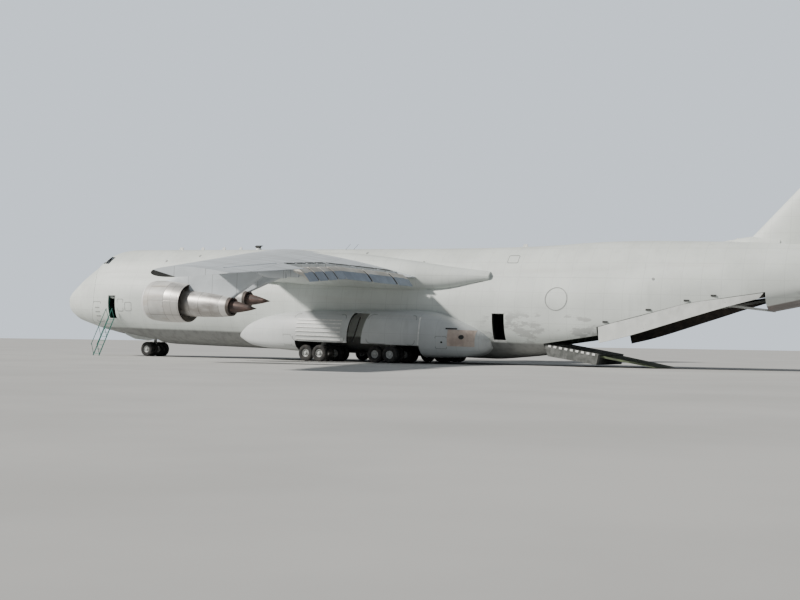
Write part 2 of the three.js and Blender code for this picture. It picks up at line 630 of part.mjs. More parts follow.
// Fairings over the flap tracks, in front of the flaps
const TRACK_Y = [6200, 9000, 11800, 15200, 18000, 20700];
const TRACK_SHARES = [0.5, 0.8];
function trackFairings() {
  return TRACK_Y.map((y) => {
    const [x1, , z1] = onWing(y, TRACK_SHARES[0]);
    const [x2, , z2] = onWing(y, TRACK_SHARES[1]);
    // x, z, half width, half height
    const rows = [
      [x1, z1 - 120, 60, 120],
      [(2 * x1 + x2) / 3, z1 - 320, 130, 330],
      [x2 + 150, z2 - 260, 130, 330],
      [x2 + 60, z2 - 260, 120, 300],
    ];
    return loft(rows.map(([x, z, w, h]) => [
      [x, y - w, z + h], [x, y - w, z - h * 0.5], [x, y - w * 0.5, z - h], [x, y + w * 0.5, z - h],
      [x, y + w, z - h * 0.5], [x, y + w, z + h],
    ]), 'x');
  });
}

const fuselageClear = bodyLoft(-3);
const AROUND_ENGINE = [[-10, 0], [-10, 1240], [300, 1290], [1150, 1335], [2100, 1310], [3004, 1230],
  [3004, 834], [3200, 835], [4300, 800], [5300, 735], [6430, 590], [6430, 430], [8300, 10], [8300, 0]];
const engineClear = spun(AROUND_ENGINE, ENGINE_SIDES);
const wingParts = ENGINES.map((engine) => cut(pylon(engine), placeEngine(engineClear, engine)));
const wing = cut(join(wingBlank, ...wingParts, ...trackFairings()), ...wingBays, aileronSlot, fuselageClear);

const SIDES = [['left', (g) => g], ['right', mirrored]];
SIDES.forEach(([sideName, place]) => {
  piece(`wing_${sideName}`, place(wing), paint);
  flapPanels.forEach((flap, k) => {
    const [a, b] = [flapLine[2 * k], flapLine[2 * k + 1]];
    const low = [a[0], a[1], a[2] - FLAP_PIVOT_DEPTH];
    const direction = [b[0] - a[0], b[1] - a[1], b[2] - a[2]];
    const dropped = turned(flap, low, direction, -FLAP_DROP);
    piece(`flap_${['inboard', 'outboard'][k]}_${sideName}`, place(dropped), paint);
  });
  piece(`aileron_${sideName}`, place(aileron), paint);
  ENGINES.forEach((engine) => {
    piece(`nacelle_${engine[0]}_${sideName}`, place(placeEngine(nacelle, engine)), bare);
    piece(`fan_${engine[0]}_${sideName}`, place(placeEngine(fan, engine)), hot);
  });
});

// Fairings where the wing meets the body
// station, outer y, low, high
const FAIRING = [
  [18600, 2900, 6500, 7600],
  [20000, 3300, 6100, 7900],
  [22500, 3900, 5900, 8050],
  [30000, 4150, 5500, 8000],
  [35500, 4050, 5350, 7500],
  [38500, 3750, 5400, 7100],
  [42200, 3100, 6100, 6700],
];
const FAIRING_ROOT_Y = 2000;
const fairingBlank = loft(FAIRING.map(([s, y, low, high]) => [
  [-s, FAIRING_ROOT_Y, low], [-s, y - 350, low + 20], [-s, y - 60, 0.75 * low + 0.25 * high],
  [-s, y, (low + high) / 2], [-s, y - 120, 0.2 * low + 0.8 * high], [-s, 2300, high + 150],
  [-s, FAIRING_ROOT_Y, high + 160],
]), 'x');
const wingClear = [[0, GAP], [0, -GAP], [GAP, 0], [-GAP, 0]].map(([x, z]) => wing.clone().translate(x, 0, z));
const fairing = cut(fairingBlank, fuselageClear, ...wingClear);
SIDES.forEach(([sideName, place]) => piece(`wing_fairing_${sideName}`, place(fairing), paint));

// Fin, its two rudders, and the tailplane with its elevators on top
// height, front station, back station, half thickness share
const FIN = [[8300, 58700, 68700, 0.062], [18150, 67800, 73950, 0.06]];
const finBlank = loft(FIN.map(([z, frontS, backS, half]) => foil(half * 2, 0).map(([share, up]) => [
  -(frontS + (backS - frontS) * share), (backS - frontS) * up, z,
])), 'z');
const onFin = (z, share) => {
  const [, frontS, backS] = between(FIN, 0, z);
  return [-(frontS + (backS - frontS) * share), 0, z];
};
const SIDEWAYS = [0, 1, 0];
const RUDDERS = [['lower', 9760, 13550], ['upper', 13600, 17650]];
const rudderShare = 0.72;
const rudderPieces = RUDDERS.map(([name, low, high]) => [
  name,
  overlap(finBlank, wedge(onFin(low, rudderShare), onFin(high, rudderShare), AFT, SIDEWAYS, 0.62)),
]);
const rudderSlot = slot(onFin(9600, rudderShare), onFin(17880, rudderShare), AFT, SIDEWAYS);
const tailClear = bodyLoft(-3, 55000, 1e6);
piece('fin', cut(finBlank, rudderSlot, tailClear), paint);
rudderPieces.forEach(([name, geometry]) => piece(`rudder_${name}`, geometry, paint));

const TAILPLANE_Z = 18620;
// y, front station, back station, thickness share
const TAILPLANE = [[0, 67300, 73100, 0.11], [10470, 73100, 75580, 0.1]];
const tailHalf = loft(TAILPLANE.map(([y, frontS, backS, thickness]) => foil(thickness, 0).map(([share, up]) => [
  -(frontS + (backS - frontS) * share), y, TAILPLANE_Z + (backS - frontS) * up,
])), 'y');
const onTail = (y, share) => {
  const [, frontS, backS] = between(TAILPLANE, 0, y);
  return [-(frontS + (backS - frontS) * share), y, TAILPLANE_Z];
};
const elevatorLine = [onTail(900, 0.74), onTail(10000, 0.7)];
const elevator = overlap(tailHalf, wedge(elevatorLine[0], elevatorLine[1], AFT, UP, 0.6));
const ELEVATOR_INNER_GAP = 30;
const elevatorSlot = slot(beyond(...elevatorLine, -ELEVATOR_INNER_GAP),
  beyond(...elevatorLine.toReversed(), SWEPT_END_GAP), AFT, UP);
const tailSide = cut(tailHalf, elevatorSlot);
const BULLET = [[65300, 0], [65650, 190], [66800, 420], [68900, 520], [72400, 470], [74800, 260], [76150, 0]];
const bullet = spun(BULLET, 16).translate(0, 0, TAILPLANE_Z);
const finTop = block(60000, 77000, -1000, 1000, 17000, FIN[1][0] + GAP);
const bulletClear = slot(onTail(560, 0.74), onTail(950, 0.74), AFT, UP);
const tailplane = cut(join(tailSide, mirrored(tailSide), bullet), finTop, bulletClear, mirrored(bulletClear));
piece('tailplane', tailplane, paint);
piece('elevator_left', elevator, paint);
piece('elevator_right', mirrored(elevator), paint);

// Wheel sets: tyres on one axle, lathed as one piece
function wheelSet(centres) {
  const half = TYRE_WIDTH / 2;
  const profile = [];
  centres.forEach((c) => {
    profile.push([c - half + 40, 90], [c - half, 470], [c - half + 85, TYRE_RADIUS],
      [c + half - 85, TYRE_RADIUS], [c + half, 470], [c + half - 40, 90]);
  });
  const points = [[profile[0][0], 0], ...profile, [profile[profile.length - 1][0], 0]]
    .map(([along, radius]) => new THREE.Vector2(radius, along));
  const lathe = new THREE.LatheGeometry(points, WHEEL_SIDES);
  return outward(lathe.rotateY(Math.PI / WHEEL_SIDES + PITCH));
}

// Main gear: each bogie carries two tyres in front and four behind
const BOGIE_Y = 4175;
const FRONT_TYRES = [-1105, 1105];
const REAR_TYRES = [-1535, -675, 675, 1535];
const FRONT_AXLE = 890;
const REAR_AXLE = -550;
const BOGIES = [['front', 2930], ['rear', -2930]];
const AXLE_HOLE = 104;
SIDES.forEach(([sideName, place]) => {
  BOGIES.forEach(([name, x]) => {
    const front1 = fromGround(x + FRONT_AXLE, BOGIE_Y, AXLE_HEIGHT);
    const rear1 = fromGround(x + REAR_AXLE, BOGIE_Y, AXLE_HEIGHT);
    const lean = fromGround(x + 100, BOGIE_Y, 3050);
    const foot = fromGround(x + 100, BOGIE_Y, AXLE_HEIGHT);
    const beam = block(-front1[0] - 150, -rear1[0] + 150, BOGIE_Y - 200, BOGIE_Y + 200,
      foot[2] - 110, foot[2] + 260);
    const axleHoles = [front1, rear1].map(([ax, , az]) => rod([ax, BOGIE_Y - 500, az], [ax, BOGIE_Y + 500, az],
      AXLE_HOLE, 8));
    const leg = rod(foot, lean, 190, 8);
    const upper = rod([foot[0], BOGIE_Y, 1700], lean, 250, 8);
    const arm = block(-foot[0] - 260, -foot[0] + 260, 2900, BOGIE_Y + 200, 2650, 3080);
    const drag = rod([foot[0], BOGIE_Y, 1650], [foot[0] - 900, 3300, 2950], 90);
    const whole = cut(join(beam, leg, upper, arm, drag), ...axleHoles, fuselageClear);
    piece(`main_gear_${name}_${sideName}`, place(whole), bare);
    piece(`main_wheels_${name}_${sideName}_1`, place(wheelSet(FRONT_TYRES).translate(...front1)), rubber);
    piece(`main_wheels_${name}_${sideName}_2`, place(wheelSet(REAR_TYRES).translate(...rear1)), rubber);
  });
});

// Pods over the main gear: station, outer y, top, bottom
const PODS = [
  [20400, 2500, 2200, 1500],
  [22300, 3600, 2750, 900],
  [24500, 4600, 3200, 720],
  [26400, 5350, 3440, 650],
  [28000, 5720, 3560, 610],
  [30500, 5880, 3620, 600],
  [34000, 5900, 3700, 600],
  [36800, 5880, 3780, 600],
  [38300, 5780, 3720, 600],
  [39600, 5350, 3420, 620],
  [40800, 4650, 3020, 720],
  [41900, 3800, 2560, 1000],
  [42500, 3050, 2250, 1400],
];
// Outline of a pod's section: share of the way in from the outer side, share of the height
const POD_OUTLINE = [[1, 0], [0.27, 0], [0.12, 0.07], [0.035, 0.22], [0, 0.5], [0.03, 0.74], [0.1, 0.9],
  [0.23, 1], [0.42, 1.04], [1, 1.06]];
const POD_INNER_Y = 1000;
function podLoft(inset) {
  return loft(PODS.map(([s, y, top, low]) => POD_OUTLINE.map(([inward, up]) => [
    -s, y - inset - inward * (y - inset - POD_INNER_Y), low + inset + up * (top - low - 2 * inset),
  ])), 'x');
}
const WELL = [27800, 38200];
const DOOR_EDGE = 1390;
const POD_WALL = 140;
// the gap between the front and the rear doors of the well leans back at its top
const DOOR_GAP = [[32340, 0], [33440, 0], [33530, 1250], [33990, 3560], [32620, 3560], [32380, 1400]];
const podOpen = [
  block(WELL[0], WELL[1], 2200, 7000, 0, DOOR_EDGE),
  overlap(podLoft(POD_WALL), block(WELL[0] + POD_WALL, WELL[1] - POD_WALL, 1000, 7000, 0, 5000)),
  side(DOOR_GAP, 4300, 7000),
];
const pod = cut(podLoft(0), fuselageClear, ...podOpen);
SIDES.forEach(([sideName, place]) => piece(`gear_pod_${sideName}`, place(pod), paint));

// Nose gear: leg, steered fork and one row of four tyres
const NOSE_AXLE_X = 22430;
const noseAxle = fromGround(NOSE_AXLE_X, 0, AXLE_HEIGHT);
const STEER_JOIN = 1500;
const bayRoof = NOSE_BAY[3] - GAP;
const noseLeg = join(rod([noseAxle[0], 0, STEER_JOIN + GAP], [noseAxle[0], 0, bayRoof], 170, 12),
  rod([noseAxle[0], 0, 1650], [noseAxle[0] - 1300, 0, bayRoof - 38], 60));
piece('nose_gear_leg', cut(noseLeg, block(6000, 13000, -2000, 2000, bayRoof, 3000)), bare);
const fork = join(rod([noseAxle[0], 0, STEER_JOIN], noseAxle, 130, 12),
  block(-noseAxle[0] - 190, -noseAxle[0] + 190, -170, 170, noseAxle[2] - 130, noseAxle[2] + 240));
const noseAxleHole = rod([noseAxle[0], -400, noseAxle[2]], [noseAxle[0], 400, noseAxle[2]], AXLE_HOLE, 8);
piece('nose_gear_fork', cut(fork, noseAxleHole), bare);
const NOSE_TYRES = [-970, -480, 480, 970];
piece('nose_wheels', wheelSet(NOSE_TYRES).translate(...noseAxle), rubber);

// Doors of the nose bay, hanging at its sides
const noseDoorSide = [[7800, 1640], [11750, 1100], [11750, 990], [10700, 830], [9300, 900], [8300, 1240]];
const noseDoor = cut(side(noseDoorSide, 1600, 1660), fuselageClear);
piece('nose_gear_door_left', noseDoor, paint);
piece('nose_gear_door_right', mirrored(noseDoor), paint);

// Attitude on the ground and scale
aircraft.position.x = NOSE_TO_MAIN_WHEELS;
const attitude = new THREE.Group();
attitude.add(aircraft);
attitude.rotation.y = -PITCH;
const group = new THREE.Group();
group.add(attitude);
group.scale.setScalar(MODEL_SCALE);
group.updateMatrixWorld(true);
const box = new THREE.Box3().setFromObject(group, true);
group.position.set(-(box.min.x + box.max.x) / 2, 0, -box.min.z);

export default group;
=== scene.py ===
import bmesh
import bpy
import numpy as np
from functools import reduce
from math import cos, pi, radians, sin
from mathutils import Matrix, Vector


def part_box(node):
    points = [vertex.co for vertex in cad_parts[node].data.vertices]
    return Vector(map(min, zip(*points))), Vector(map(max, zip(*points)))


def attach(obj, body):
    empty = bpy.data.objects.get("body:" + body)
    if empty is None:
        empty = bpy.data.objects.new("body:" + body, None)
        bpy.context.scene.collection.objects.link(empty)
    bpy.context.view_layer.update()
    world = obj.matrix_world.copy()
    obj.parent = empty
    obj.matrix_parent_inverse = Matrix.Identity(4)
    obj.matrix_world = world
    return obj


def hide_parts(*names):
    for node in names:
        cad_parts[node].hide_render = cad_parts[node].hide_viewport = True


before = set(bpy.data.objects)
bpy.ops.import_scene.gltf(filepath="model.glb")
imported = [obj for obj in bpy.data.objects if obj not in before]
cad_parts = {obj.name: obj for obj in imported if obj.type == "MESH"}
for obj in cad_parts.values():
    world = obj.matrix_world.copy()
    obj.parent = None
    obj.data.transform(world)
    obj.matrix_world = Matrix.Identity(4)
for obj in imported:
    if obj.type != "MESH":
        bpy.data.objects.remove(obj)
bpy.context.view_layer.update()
print("frame loaded", len(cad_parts), "nodes")

# Lengths below are full-size metres in the aircraft's own frame: station to the rear, with the nose
# tip at 0.65, y to the left and height above the ground under the main wheels. The model is half size.
modelScale = 0.5
noseUp = radians(1.3)
noseToMainWheels = 32.545
frontAxleAhead = 3.82
wheelLow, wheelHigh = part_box("main_wheels_front_left_1")
mainX = (wheelLow[0] + wheelHigh[0]) / 2 - modelScale * frontAxleAhead
axleHeight = 0.607


def toRow(s, y, z):
    # x = wheels - s, turned by the nose-up angle, halved and moved to the row's middle
    s, y, z = np.broadcast_arrays(np.asarray(s, float), y, z)
    x = noseToMainWheels - s
    ahead = x * cos(noseUp) - z * sin(noseUp)
    up = x * sin(noseUp) + z * cos(noseUp)
    return np.stack([mainX + modelScale * ahead, modelScale * y, modelScale * up], -1)


def fromGround(x, y, z):
    # aircraft station, y, height of a point x ahead of the main wheels and z above the ground
    s = noseToMainWheels - (x * cos(noseUp) + z * sin(noseUp))
    return s, y, z * cos(noseUp) - x * sin(noseUp)


# Camera at the photograph's place, solved from the wheels, engines, wing and tail
camera = {"place": (-44.106, 80.445, 1.467), "yaw": 28.115, "pitch": 2.033, "roll": 0.878, "lens": 54.03}
yaw, pitchUp, roll = (radians(camera[k]) for k in ("yaw", "pitch", "roll"))
lookAt = Vector((sin(yaw) * cos(pitchUp), -cos(yaw) * cos(pitchUp), sin(pitchUp)))
across = lookAt.cross(Vector((0, 0, 1))).normalized()
above = across.cross(lookAt)
rightWay = across * cos(roll) + above * sin(roll)
upWay = above * cos(roll) - across * sin(roll)
lens = bpy.data.cameras.new("camera")
lens.lens = camera["lens"]
lens.sensor_width = 36
lens.clip_start, lens.clip_end = 0.5, 900
cameraObject = bpy.data.objects.new("camera", lens)
bpy.context.scene.collection.objects.link(cameraObject)
place = Vector((mainX + modelScale * camera["place"][0], modelScale * camera["place"][1],
                modelScale * camera["place"][2]))
turn = Matrix((rightWay, upWay, -lookAt)).transposed().to_4x4()
cameraObject.matrix_world = Matrix.Translation(place) @ turn
bpy.context.scene.camera = cameraObject


# Shader maths: a wire is one socket, and arithmetic on wires adds Math nodes
class Wire:
    def __init__(self, paint, socket):
        self.paint, self.socket = paint, socket

    def maths(self, operation, *others):
        return self.paint.node("ShaderNodeMath", {"operation": operation}, dict(enumerate((self, *others))))

    def __add__(self, other):
        return self.maths("ADD", other)

    __radd__ = __add__

    def __sub__(self, other):
        return self.maths("SUBTRACT", other)

    def __rsub__(self, other):
        return self.paint.number(other).maths("SUBTRACT", self)

    def __mul__(self, other):
        return self.maths("MULTIPLY", other)

    def __truediv__(self, other):
        return self.maths("DIVIDE", other)

    def __abs__(self):
        return self.maths("ABSOLUTE")

    def most(self, other):
        return self.maths("MAXIMUM", other)

    def over(self, low, high):
        # 0 below low, 1 above high, smooth between
        return self.paint.node("ShaderNodeMapRange", {"interpolation_type": "SMOOTHSTEP"},
                               {"Value": self, "From Min": low, "From Max": high})

    def near(self, centre, width):
        # 1 at centre, falling to 0 at width away
        return 1 - abs(self - centre).over(0, width)

    def every(self, step, width, start=0.0):
        # 1 on thin lines that repeat every step, from the distance to the nearest multiple
        phase = ((self - start) / step + 0.5).maths("FRACT")
        return 1 - (abs(phase - 0.5) * step).over(0.25 * width, 0.6 * width)

    def between(self, low, high, soft=0.02):
        return self.over(low - soft, low + soft) * (1 - self.over(high - soft, high + soft))


class Paint:
    def __init__(self, name, **shader):
        self.material = bpy.data.materials.new(name)
        self.material.use_nodes = True
        self.tree = self.material.node_tree
        self.tree.nodes.clear()
        self.shader = self.tree.nodes.new("ShaderNodeBsdfPrincipled")
        out = self.tree.nodes.new("ShaderNodeOutputMaterial")
        self.tree.links.new(self.shader.outputs[0], out.inputs[0])
        for key, value in shader.items():
            self.shader.inputs[key.replace("_", " ")].default_value = value
        self.coords = self.tree.nodes.new("ShaderNodeTexCoord").outputs["Object"]

    def node(self, kind, settings=None, inputs=None):
        made = self.tree.nodes.new(kind)
        for key, value in (settings or {}).items():
            setattr(made, key, value)
        for key, value in (inputs or {}).items():
            self.plug(made.inputs[key], value)
        return Wire(self, made.outputs[0])

    def plug(self, target, value):
        if isinstance(value, Wire):
            self.tree.links.new(value.socket, target)
        elif target.type == "RGBA" and len(value) == 3:
            target.default_value = (*value, 1)
        else:
            target.default_value = value

    def number(self, value):
        return self.node("ShaderNodeMath", {"operation": "ADD"}, {0: float(value), 1: 0.0})

    def aircraftPoint(self):
        # full-size metres: x is minus the station, z the height in the aircraft's own frame
        turned = cos(noseUp) * -mainX * 2, sin(noseUp) * mainX * 2
        return self.node("ShaderNodeMapping", None, {
            "Vector": Wire(self, self.coords), "Scale": (2, 2, 2), "Rotation": (0, noseUp, 0),
            "Location": (turned[0] - noseToMainWheels, 0, turned[1])})

    def axes(self, vector):
        split = self.tree.nodes.new("ShaderNodeSeparateXYZ")
        self.tree.links.new(vector.socket, split.inputs[0])
        x, y, z = (Wire(self, out) for out in split.outputs)
        return x * -1, y, z

    def noise(self, vector, size, detail=3, stretch=(1, 1, 1), rough=0.55):
        moved = self.node("ShaderNodeMapping", None, {"Vector": vector, "Scale": stretch})
        return self.node("ShaderNodeTexNoise", None, {"Vector": moved, "Scale": size, "Detail": detail,
                                                      "Roughness": rough})

    def mix(self, share, first, second):
        made = self.tree.nodes.new("ShaderNodeMix")
        made.data_type = "RGBA"
        self.plug(made.inputs[0], share)
        self.plug(made.inputs[6], first)
        self.plug(made.inputs[7], second)
        return Wire(self, made.outputs[2])

    def bump(self, height, strength, distance):
        return self.node("ShaderNodeBump", None,
                         {"Height": height, "Strength": strength, "Distance": distance})

    def finish(self, color=None, roughness=None, metallic=None, normal=None):
        for key, value in (("Base Color", color), ("Roughness", roughness), ("Metallic", metallic),
                           ("Normal", normal)):
            if value is not None:
                self.plug(self.shader.inputs[key], value)
        return self.material


# Meshes from arrays
def smoothTable(rows, at):
    # cubic through the table's rows; each slope is the harmonic mean of its neighbours' slopes
    rows, at = np.asarray(rows, float), np.atleast_1d(np.asarray(at, float))
    x, y = rows[:, 0], rows[:, 1:]
    rise = np.diff(y, axis=0) / np.diff(x)[:, None]
    together = rise[:-1] * rise[1:] > 0
    total = np.where(together, rise[:-1] + rise[1:], 1)
    inner = np.where(together, 2 * rise[:-1] * rise[1:] / total, 0)
    slope = np.vstack([rise[:1], inner, rise[-1:]])
    k = np.clip(np.searchsorted(x, at, side="right") - 1, 0, len(x) - 2)
    h = (x[k + 1] - x[k])[:, None]
    t = np.clip((at - x[k])[:, None] / h, 0, 1)
    a, b = 2 * t ** 3 - 3 * t ** 2 + 1, t ** 3 - 2 * t ** 2 + t
    return a * y[k] + b * h * slope[k] + (1 - a) * y[k + 1] + (t ** 3 - t ** 2) * h * slope[k + 1]


def straightTable(rows, at):
    rows, at = np.asarray(rows, float), np.atleast_1d(np.asarray(at, float))
    return np.stack([np.interp(at, rows[:, 0], column) for column in rows[:, 1:].T], -1)


def gridFaces(rows, columns, closeColumns=True, start=0):
    # quads between neighbouring rows and columns
    r = np.arange(rows - 1)[:, None]
    c = np.arange(columns if closeColumns else columns - 1)[None, :]
    d = (c + 1) % columns
    quads = np.stack([r * columns + c, r * columns + d, (r + 1) * columns + d, (r + 1) * columns + c], -1)
    return (quads.reshape(-1, 4) + start).tolist()


def addMesh(name, points, faces, material=None, body=None, slot=None, sharp=35):
    mesh = bpy.data.meshes.new(name)
    mesh.from_pydata(np.asarray(points, float).reshape(-1, 3).tolist(), [], faces)
    thing = bpy.data.objects.new(name, mesh)
    bpy.context.scene.collection.objects.link(thing)
    if material:
        mesh.materials.append(material)
    tidyMesh(mesh, sharp)
    if body:
        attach(thing, body)
    return thing


def tidyMesh(mesh, sharp=35):
    work = bmesh.new()
    work.from_mesh(mesh)
    bmesh.ops.remove_doubles(work, verts=work.verts, dist=1e-5)
    bmesh.ops.dissolve_degenerate(work, edges=work.edges, dist=1e-6)
    bmesh.ops.recalc_face_normals(work, faces=work.faces)
    work.to_mesh(mesh)
    work.free()
    mesh.polygons.foreach_set("use_smooth", np.ones(len(mesh.polygons), bool))
    mesh.set_sharp_from_angle(angle=radians(sharp))
    mesh.update()


def joinShapes(shapes):
    # one list of points and one of faces from several
    points, faces, start = [], [], 0
    for somePoints, someFaces in shapes:
        somePoints = np.asarray(somePoints, float).reshape(-1, 3)
        points.append(somePoints)
        faces += [[i + start for i in face] for face in someFaces]
        start += len(somePoints)
    return np.vstack(points), faces


def loftShape(rings):
    # closed skin through rings of points, flat at both ends
    rings = np.asarray(rings, float)
    rows, columns = rings.shape[:2]
    faces = gridFaces(rows, columns)
    faces.append(list(range(columns))[::-1])
    faces.append(list(range((rows - 1) * columns, rows * columns)))
    return rings.reshape(-1, 3), faces


def prism(outline, low, high, way="side"):
    # an outline of (station, height), or (station, y) with way "plan", carried from low to high
    a, b = np.asarray(outline, float).T
    rings = [toRow(a, v, b) if way == "side" else toRow(a, b, v) for v in (low, high)]
    return loftShape(rings)


def box(s, y, z):
    return prism([(s[0], z[0]), (s[1], z[0]), (s[1], z[1]), (s[0], z[1])], y[0], y[1])


def tube(start, end, radius, sides=16, taper=1.0):
    # a round bar between two points, given as (station, y, height)
    a, b = (np.array(toRow(*p)) for p in (start, end))
    along = (b - a) / np.linalg.norm(b - a)
    side = np.cross(along, (0.3, 0.2, 0.93))
    side /= np.linalg.norm(side)
    other = np.cross(along, side)
    t = np.arange(sides) * 2 * pi / sides
    circle = (np.cos(t)[:, None] * side + np.sin(t)[:, None] * other) * radius * modelScale
    return loftShape([a + circle, b + circle * taper])


def spin(profile, centre, axis, sides, closed=False):
    # a profile of (along, radius) turned about an axis through the centre, both in the row frame
    profile = np.asarray(profile, float) * modelScale
    axis = np.array(axis, float) / np.linalg.norm(axis)
    side = np.cross(axis, (0, 0, 1.0)) if abs(axis[2]) < 0.9 else np.array((1.0, 0, 0))
    side /= np.linalg.norm(side)
    other = np.cross(axis, side)
    t = np.arange(sides) * 2 * pi / sides
    around = np.cos(t)[:, None] * side + np.sin(t)[:, None] * other
    rings = np.asarray(centre) + profile[:, None, :1] * axis + profile[:, None, 1:] * around
    if closed:
        rings = np.concatenate([rings, rings[:1]])
    faces = gridFaces(len(rings), sides)
    if not closed:
        for k in (0, len(rings) - 1):
            if profile[k, 1] > 1e-6:
                faces.append([k * sides + i for i in range(sides)])
    return rings.reshape(-1, 3), faces


def mirrorShape(shape):
    points, faces = shape
    return np.asarray(points).reshape(-1, 3) * (1, -1, 1), [face[::-1] for face in faces]


def meshShape(thing):
    return np.array([v.co for v in thing.data.vertices]), [list(p.vertices) for p in thing.data.polygons]


def settle(thing, sharp, body="airframe"):
    tidyMesh(thing.data, sharp)
    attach(thing, body)


def addBoth(name, shape, material, body, slotName, replaced=None, sharp=35):
    # the shape and its mirror image; the braces in body and replaced take the side
    things = []
    for side, sideShape in (("left", shape), ("right", mirrorShape(shape))):
        thing = addMesh(name + side.title(), *sideShape, material, body.format(side), slotName, sharp)
        if replaced:
            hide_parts(replaced.format(side))
        things.append(thing)
    return things


def carve(thing, shape, operation="DIFFERENCE", material=None):
    cutter = addMesh("cutter", *shape, material=material)
    step = thing.modifiers.new("carve", "BOOLEAN")
    step.operation, step.object, step.solver = operation, cutter, "EXACT"
    step.material_mode = "TRANSFER" if material else "INDEX"
    seen = thing.evaluated_get(bpy.context.evaluated_depsgraph_get())
    mesh = bpy.data.meshes.new_from_object(seen)
    thing.modifiers.clear()
    old, thing.data = thing.data, mesh
    bpy.data.meshes.remove(old)
    bpy.data.objects.remove(cutter)
    return thing


# Finishes
def hullPaint(name="hullPaint", base=(0.66, 0.70, 0.67), belly=(0.235, 0.24, 0.235), bellyTop=1.85):
    paint = Paint(name, Roughness=0.5)
    spot = paint.aircraftPoint()
    s, y, z = paint.axes(spot)
    cloud = paint.noise(spot, 0.35, 5)
    fine = paint.noise(spot, 6, 4)
    drips = paint.noise(spot, 2.2, 4, (1, 1, 0.07))
    wind = paint.noise(spot, 1.6, 4, (0.06, 1, 1))
    # distances between frames, strakes and rivets, and the height of the first strake
    frameStep, strakeStep, rivetStep, firstStrake = 1.27, 1.06, 0.11, 0.06
    frames = s.every(frameStep, 0.05)
    strakes = z.every(strakeStep, 0.045, firstStrake)
    crease = z.near(6.43, 0.05) * s.between(9, 52, 1)
    seams = (frames.most(strakes) * 0.55).most(crease * 0.8)
    tone = paint.mix(cloud.over(0.35, 0.7), [c * 0.93 for c in base], [c * 1.05 for c in base])
    tone = paint.mix(drips.over(0.52, 0.8) * 0.35, tone, [c * 0.72 for c in base])
    tone = paint.mix(wind.over(0.55, 0.8) * 0.22, tone, (0.50, 0.47, 0.42))
    low = 1 - (z + (cloud - 0.5) * 0.12).over(bellyTop - 0.09, bellyTop + 0.09)
    tone = paint.mix(low * 0.92, tone, paint.mix(drips.over(0.4, 0.7), belly, [c * 0.7 for c in belly]))
    tail = (z - s * 0.243 + 10.07) * -1
    under = tail.over(-0.04, 0.04) * s.over(58.5, 59.5)
    tone = paint.mix(under * 0.85, tone,
                     paint.mix(cloud.over(0.4, 0.6), (0.15, 0.12, 0.115), (0.24, 0.17, 0.16)))
    worn = s.between(42.2, 50.5, 0.8) * z.between(1.85, 3.9, 0.35)
    patches = paint.noise(spot, 0.9, 6, (0.55, 1, 1.3), 0.7).over(0.5, 0.56) * worn
    flakes = paint.noise(spot, 1.6, 6, (0.4, 1, 1), 0.7).over(0.52, 0.6)
    patches = patches.most(flakes * tail.over(-1.1, -0.7) * s.over(62, 64))
    tone = paint.mix(patches * 0.6, tone, (0.30, 0.305, 0.30))
    tone = paint.mix(seams * 0.28, tone, (0.24, 0.25, 0.245))
    tone = paint.mix(fine.over(0.6, 0.85) * 0.12, tone, (0.25, 0.24, 0.22))
    besideSeams = s.every(frameStep, 0.16).most(z.every(strakeStep, 0.16, firstStrake))
    rivets = besideSeams * s.every(rivetStep, 0.03) * z.every(rivetStep, 0.03)
    height = (seams * -1.0) + rivets * 0.3 + fine * 0.15
    return paint.finish(tone, 0.42 + cloud * 0.25 + patches * 0.2, normal=paint.bump(height, 0.35, 0.004))


def insidePaint():
    paint = Paint("insidePaint", Roughness=0.75)
    spot = paint.aircraftPoint()
    s, y, z = paint.axes(spot)
    ribs = s.every(0.51, 0.16)
    cloud = paint.noise(spot, 1.2, 4)
    entry = s.between(5.0, 7.7, 0.3) * z.between(2.0, 4.9, 0.2)
    tone = paint.mix(cloud.over(0.3, 0.7), (0.055, 0.075, 0.062), (0.10, 0.12, 0.10))
    tone = paint.mix(ribs * 0.6, tone, (0.16, 0.18, 0.155))
    lining = paint.mix(s.over(6.3, 6.5), (0.012, 0.10, 0.065), (0.13, 0.02, 0.06))
    tone = paint.mix(entry * 0.9, tone, lining)
    return paint.finish(tone, 0.6 + cloud * 0.3, normal=paint.bump(ribs + cloud * 0.2, 0.6, 0.02))


def wingPaint():
    paint = Paint("wingPaint", Roughness=0.5)
    spot = paint.aircraftPoint()
    s, y, z = paint.axes(spot)
    out = abs(y)
    cloud = paint.noise(spot, 0.5, 5)
    fine = paint.noise(spot, 7, 4)
    soot = paint.noise(spot, 1.4, 5, (0.12, 1, 1))
    ribs = out.every(1.55, 0.05)
    spars = (s - out * 0.47).every(1.9, 0.05, 0.4)
    seams = ribs.most(spars)
    bright, dull = (0.60, 0.65, 0.69), (0.50, 0.54, 0.57)
    tone = paint.mix(cloud.over(0.35, 0.7), dull, bright)
    tone = paint.mix(out.every(3.1, 1.5).over(0.2, 0.8) * 0.15, tone, (0.40, 0.43, 0.44))
    tone = paint.mix(soot.over(0.52, 0.8) * 0.4, tone, (0.33, 0.33, 0.32))
    tone = paint.mix(seams * 0.6, tone, (0.19, 0.20, 0.20))
    return paint.finish(tone, 0.40 + cloud * 0.25, normal=paint.bump(seams * -1 + fine * 0.15, 0.35, 0.004))


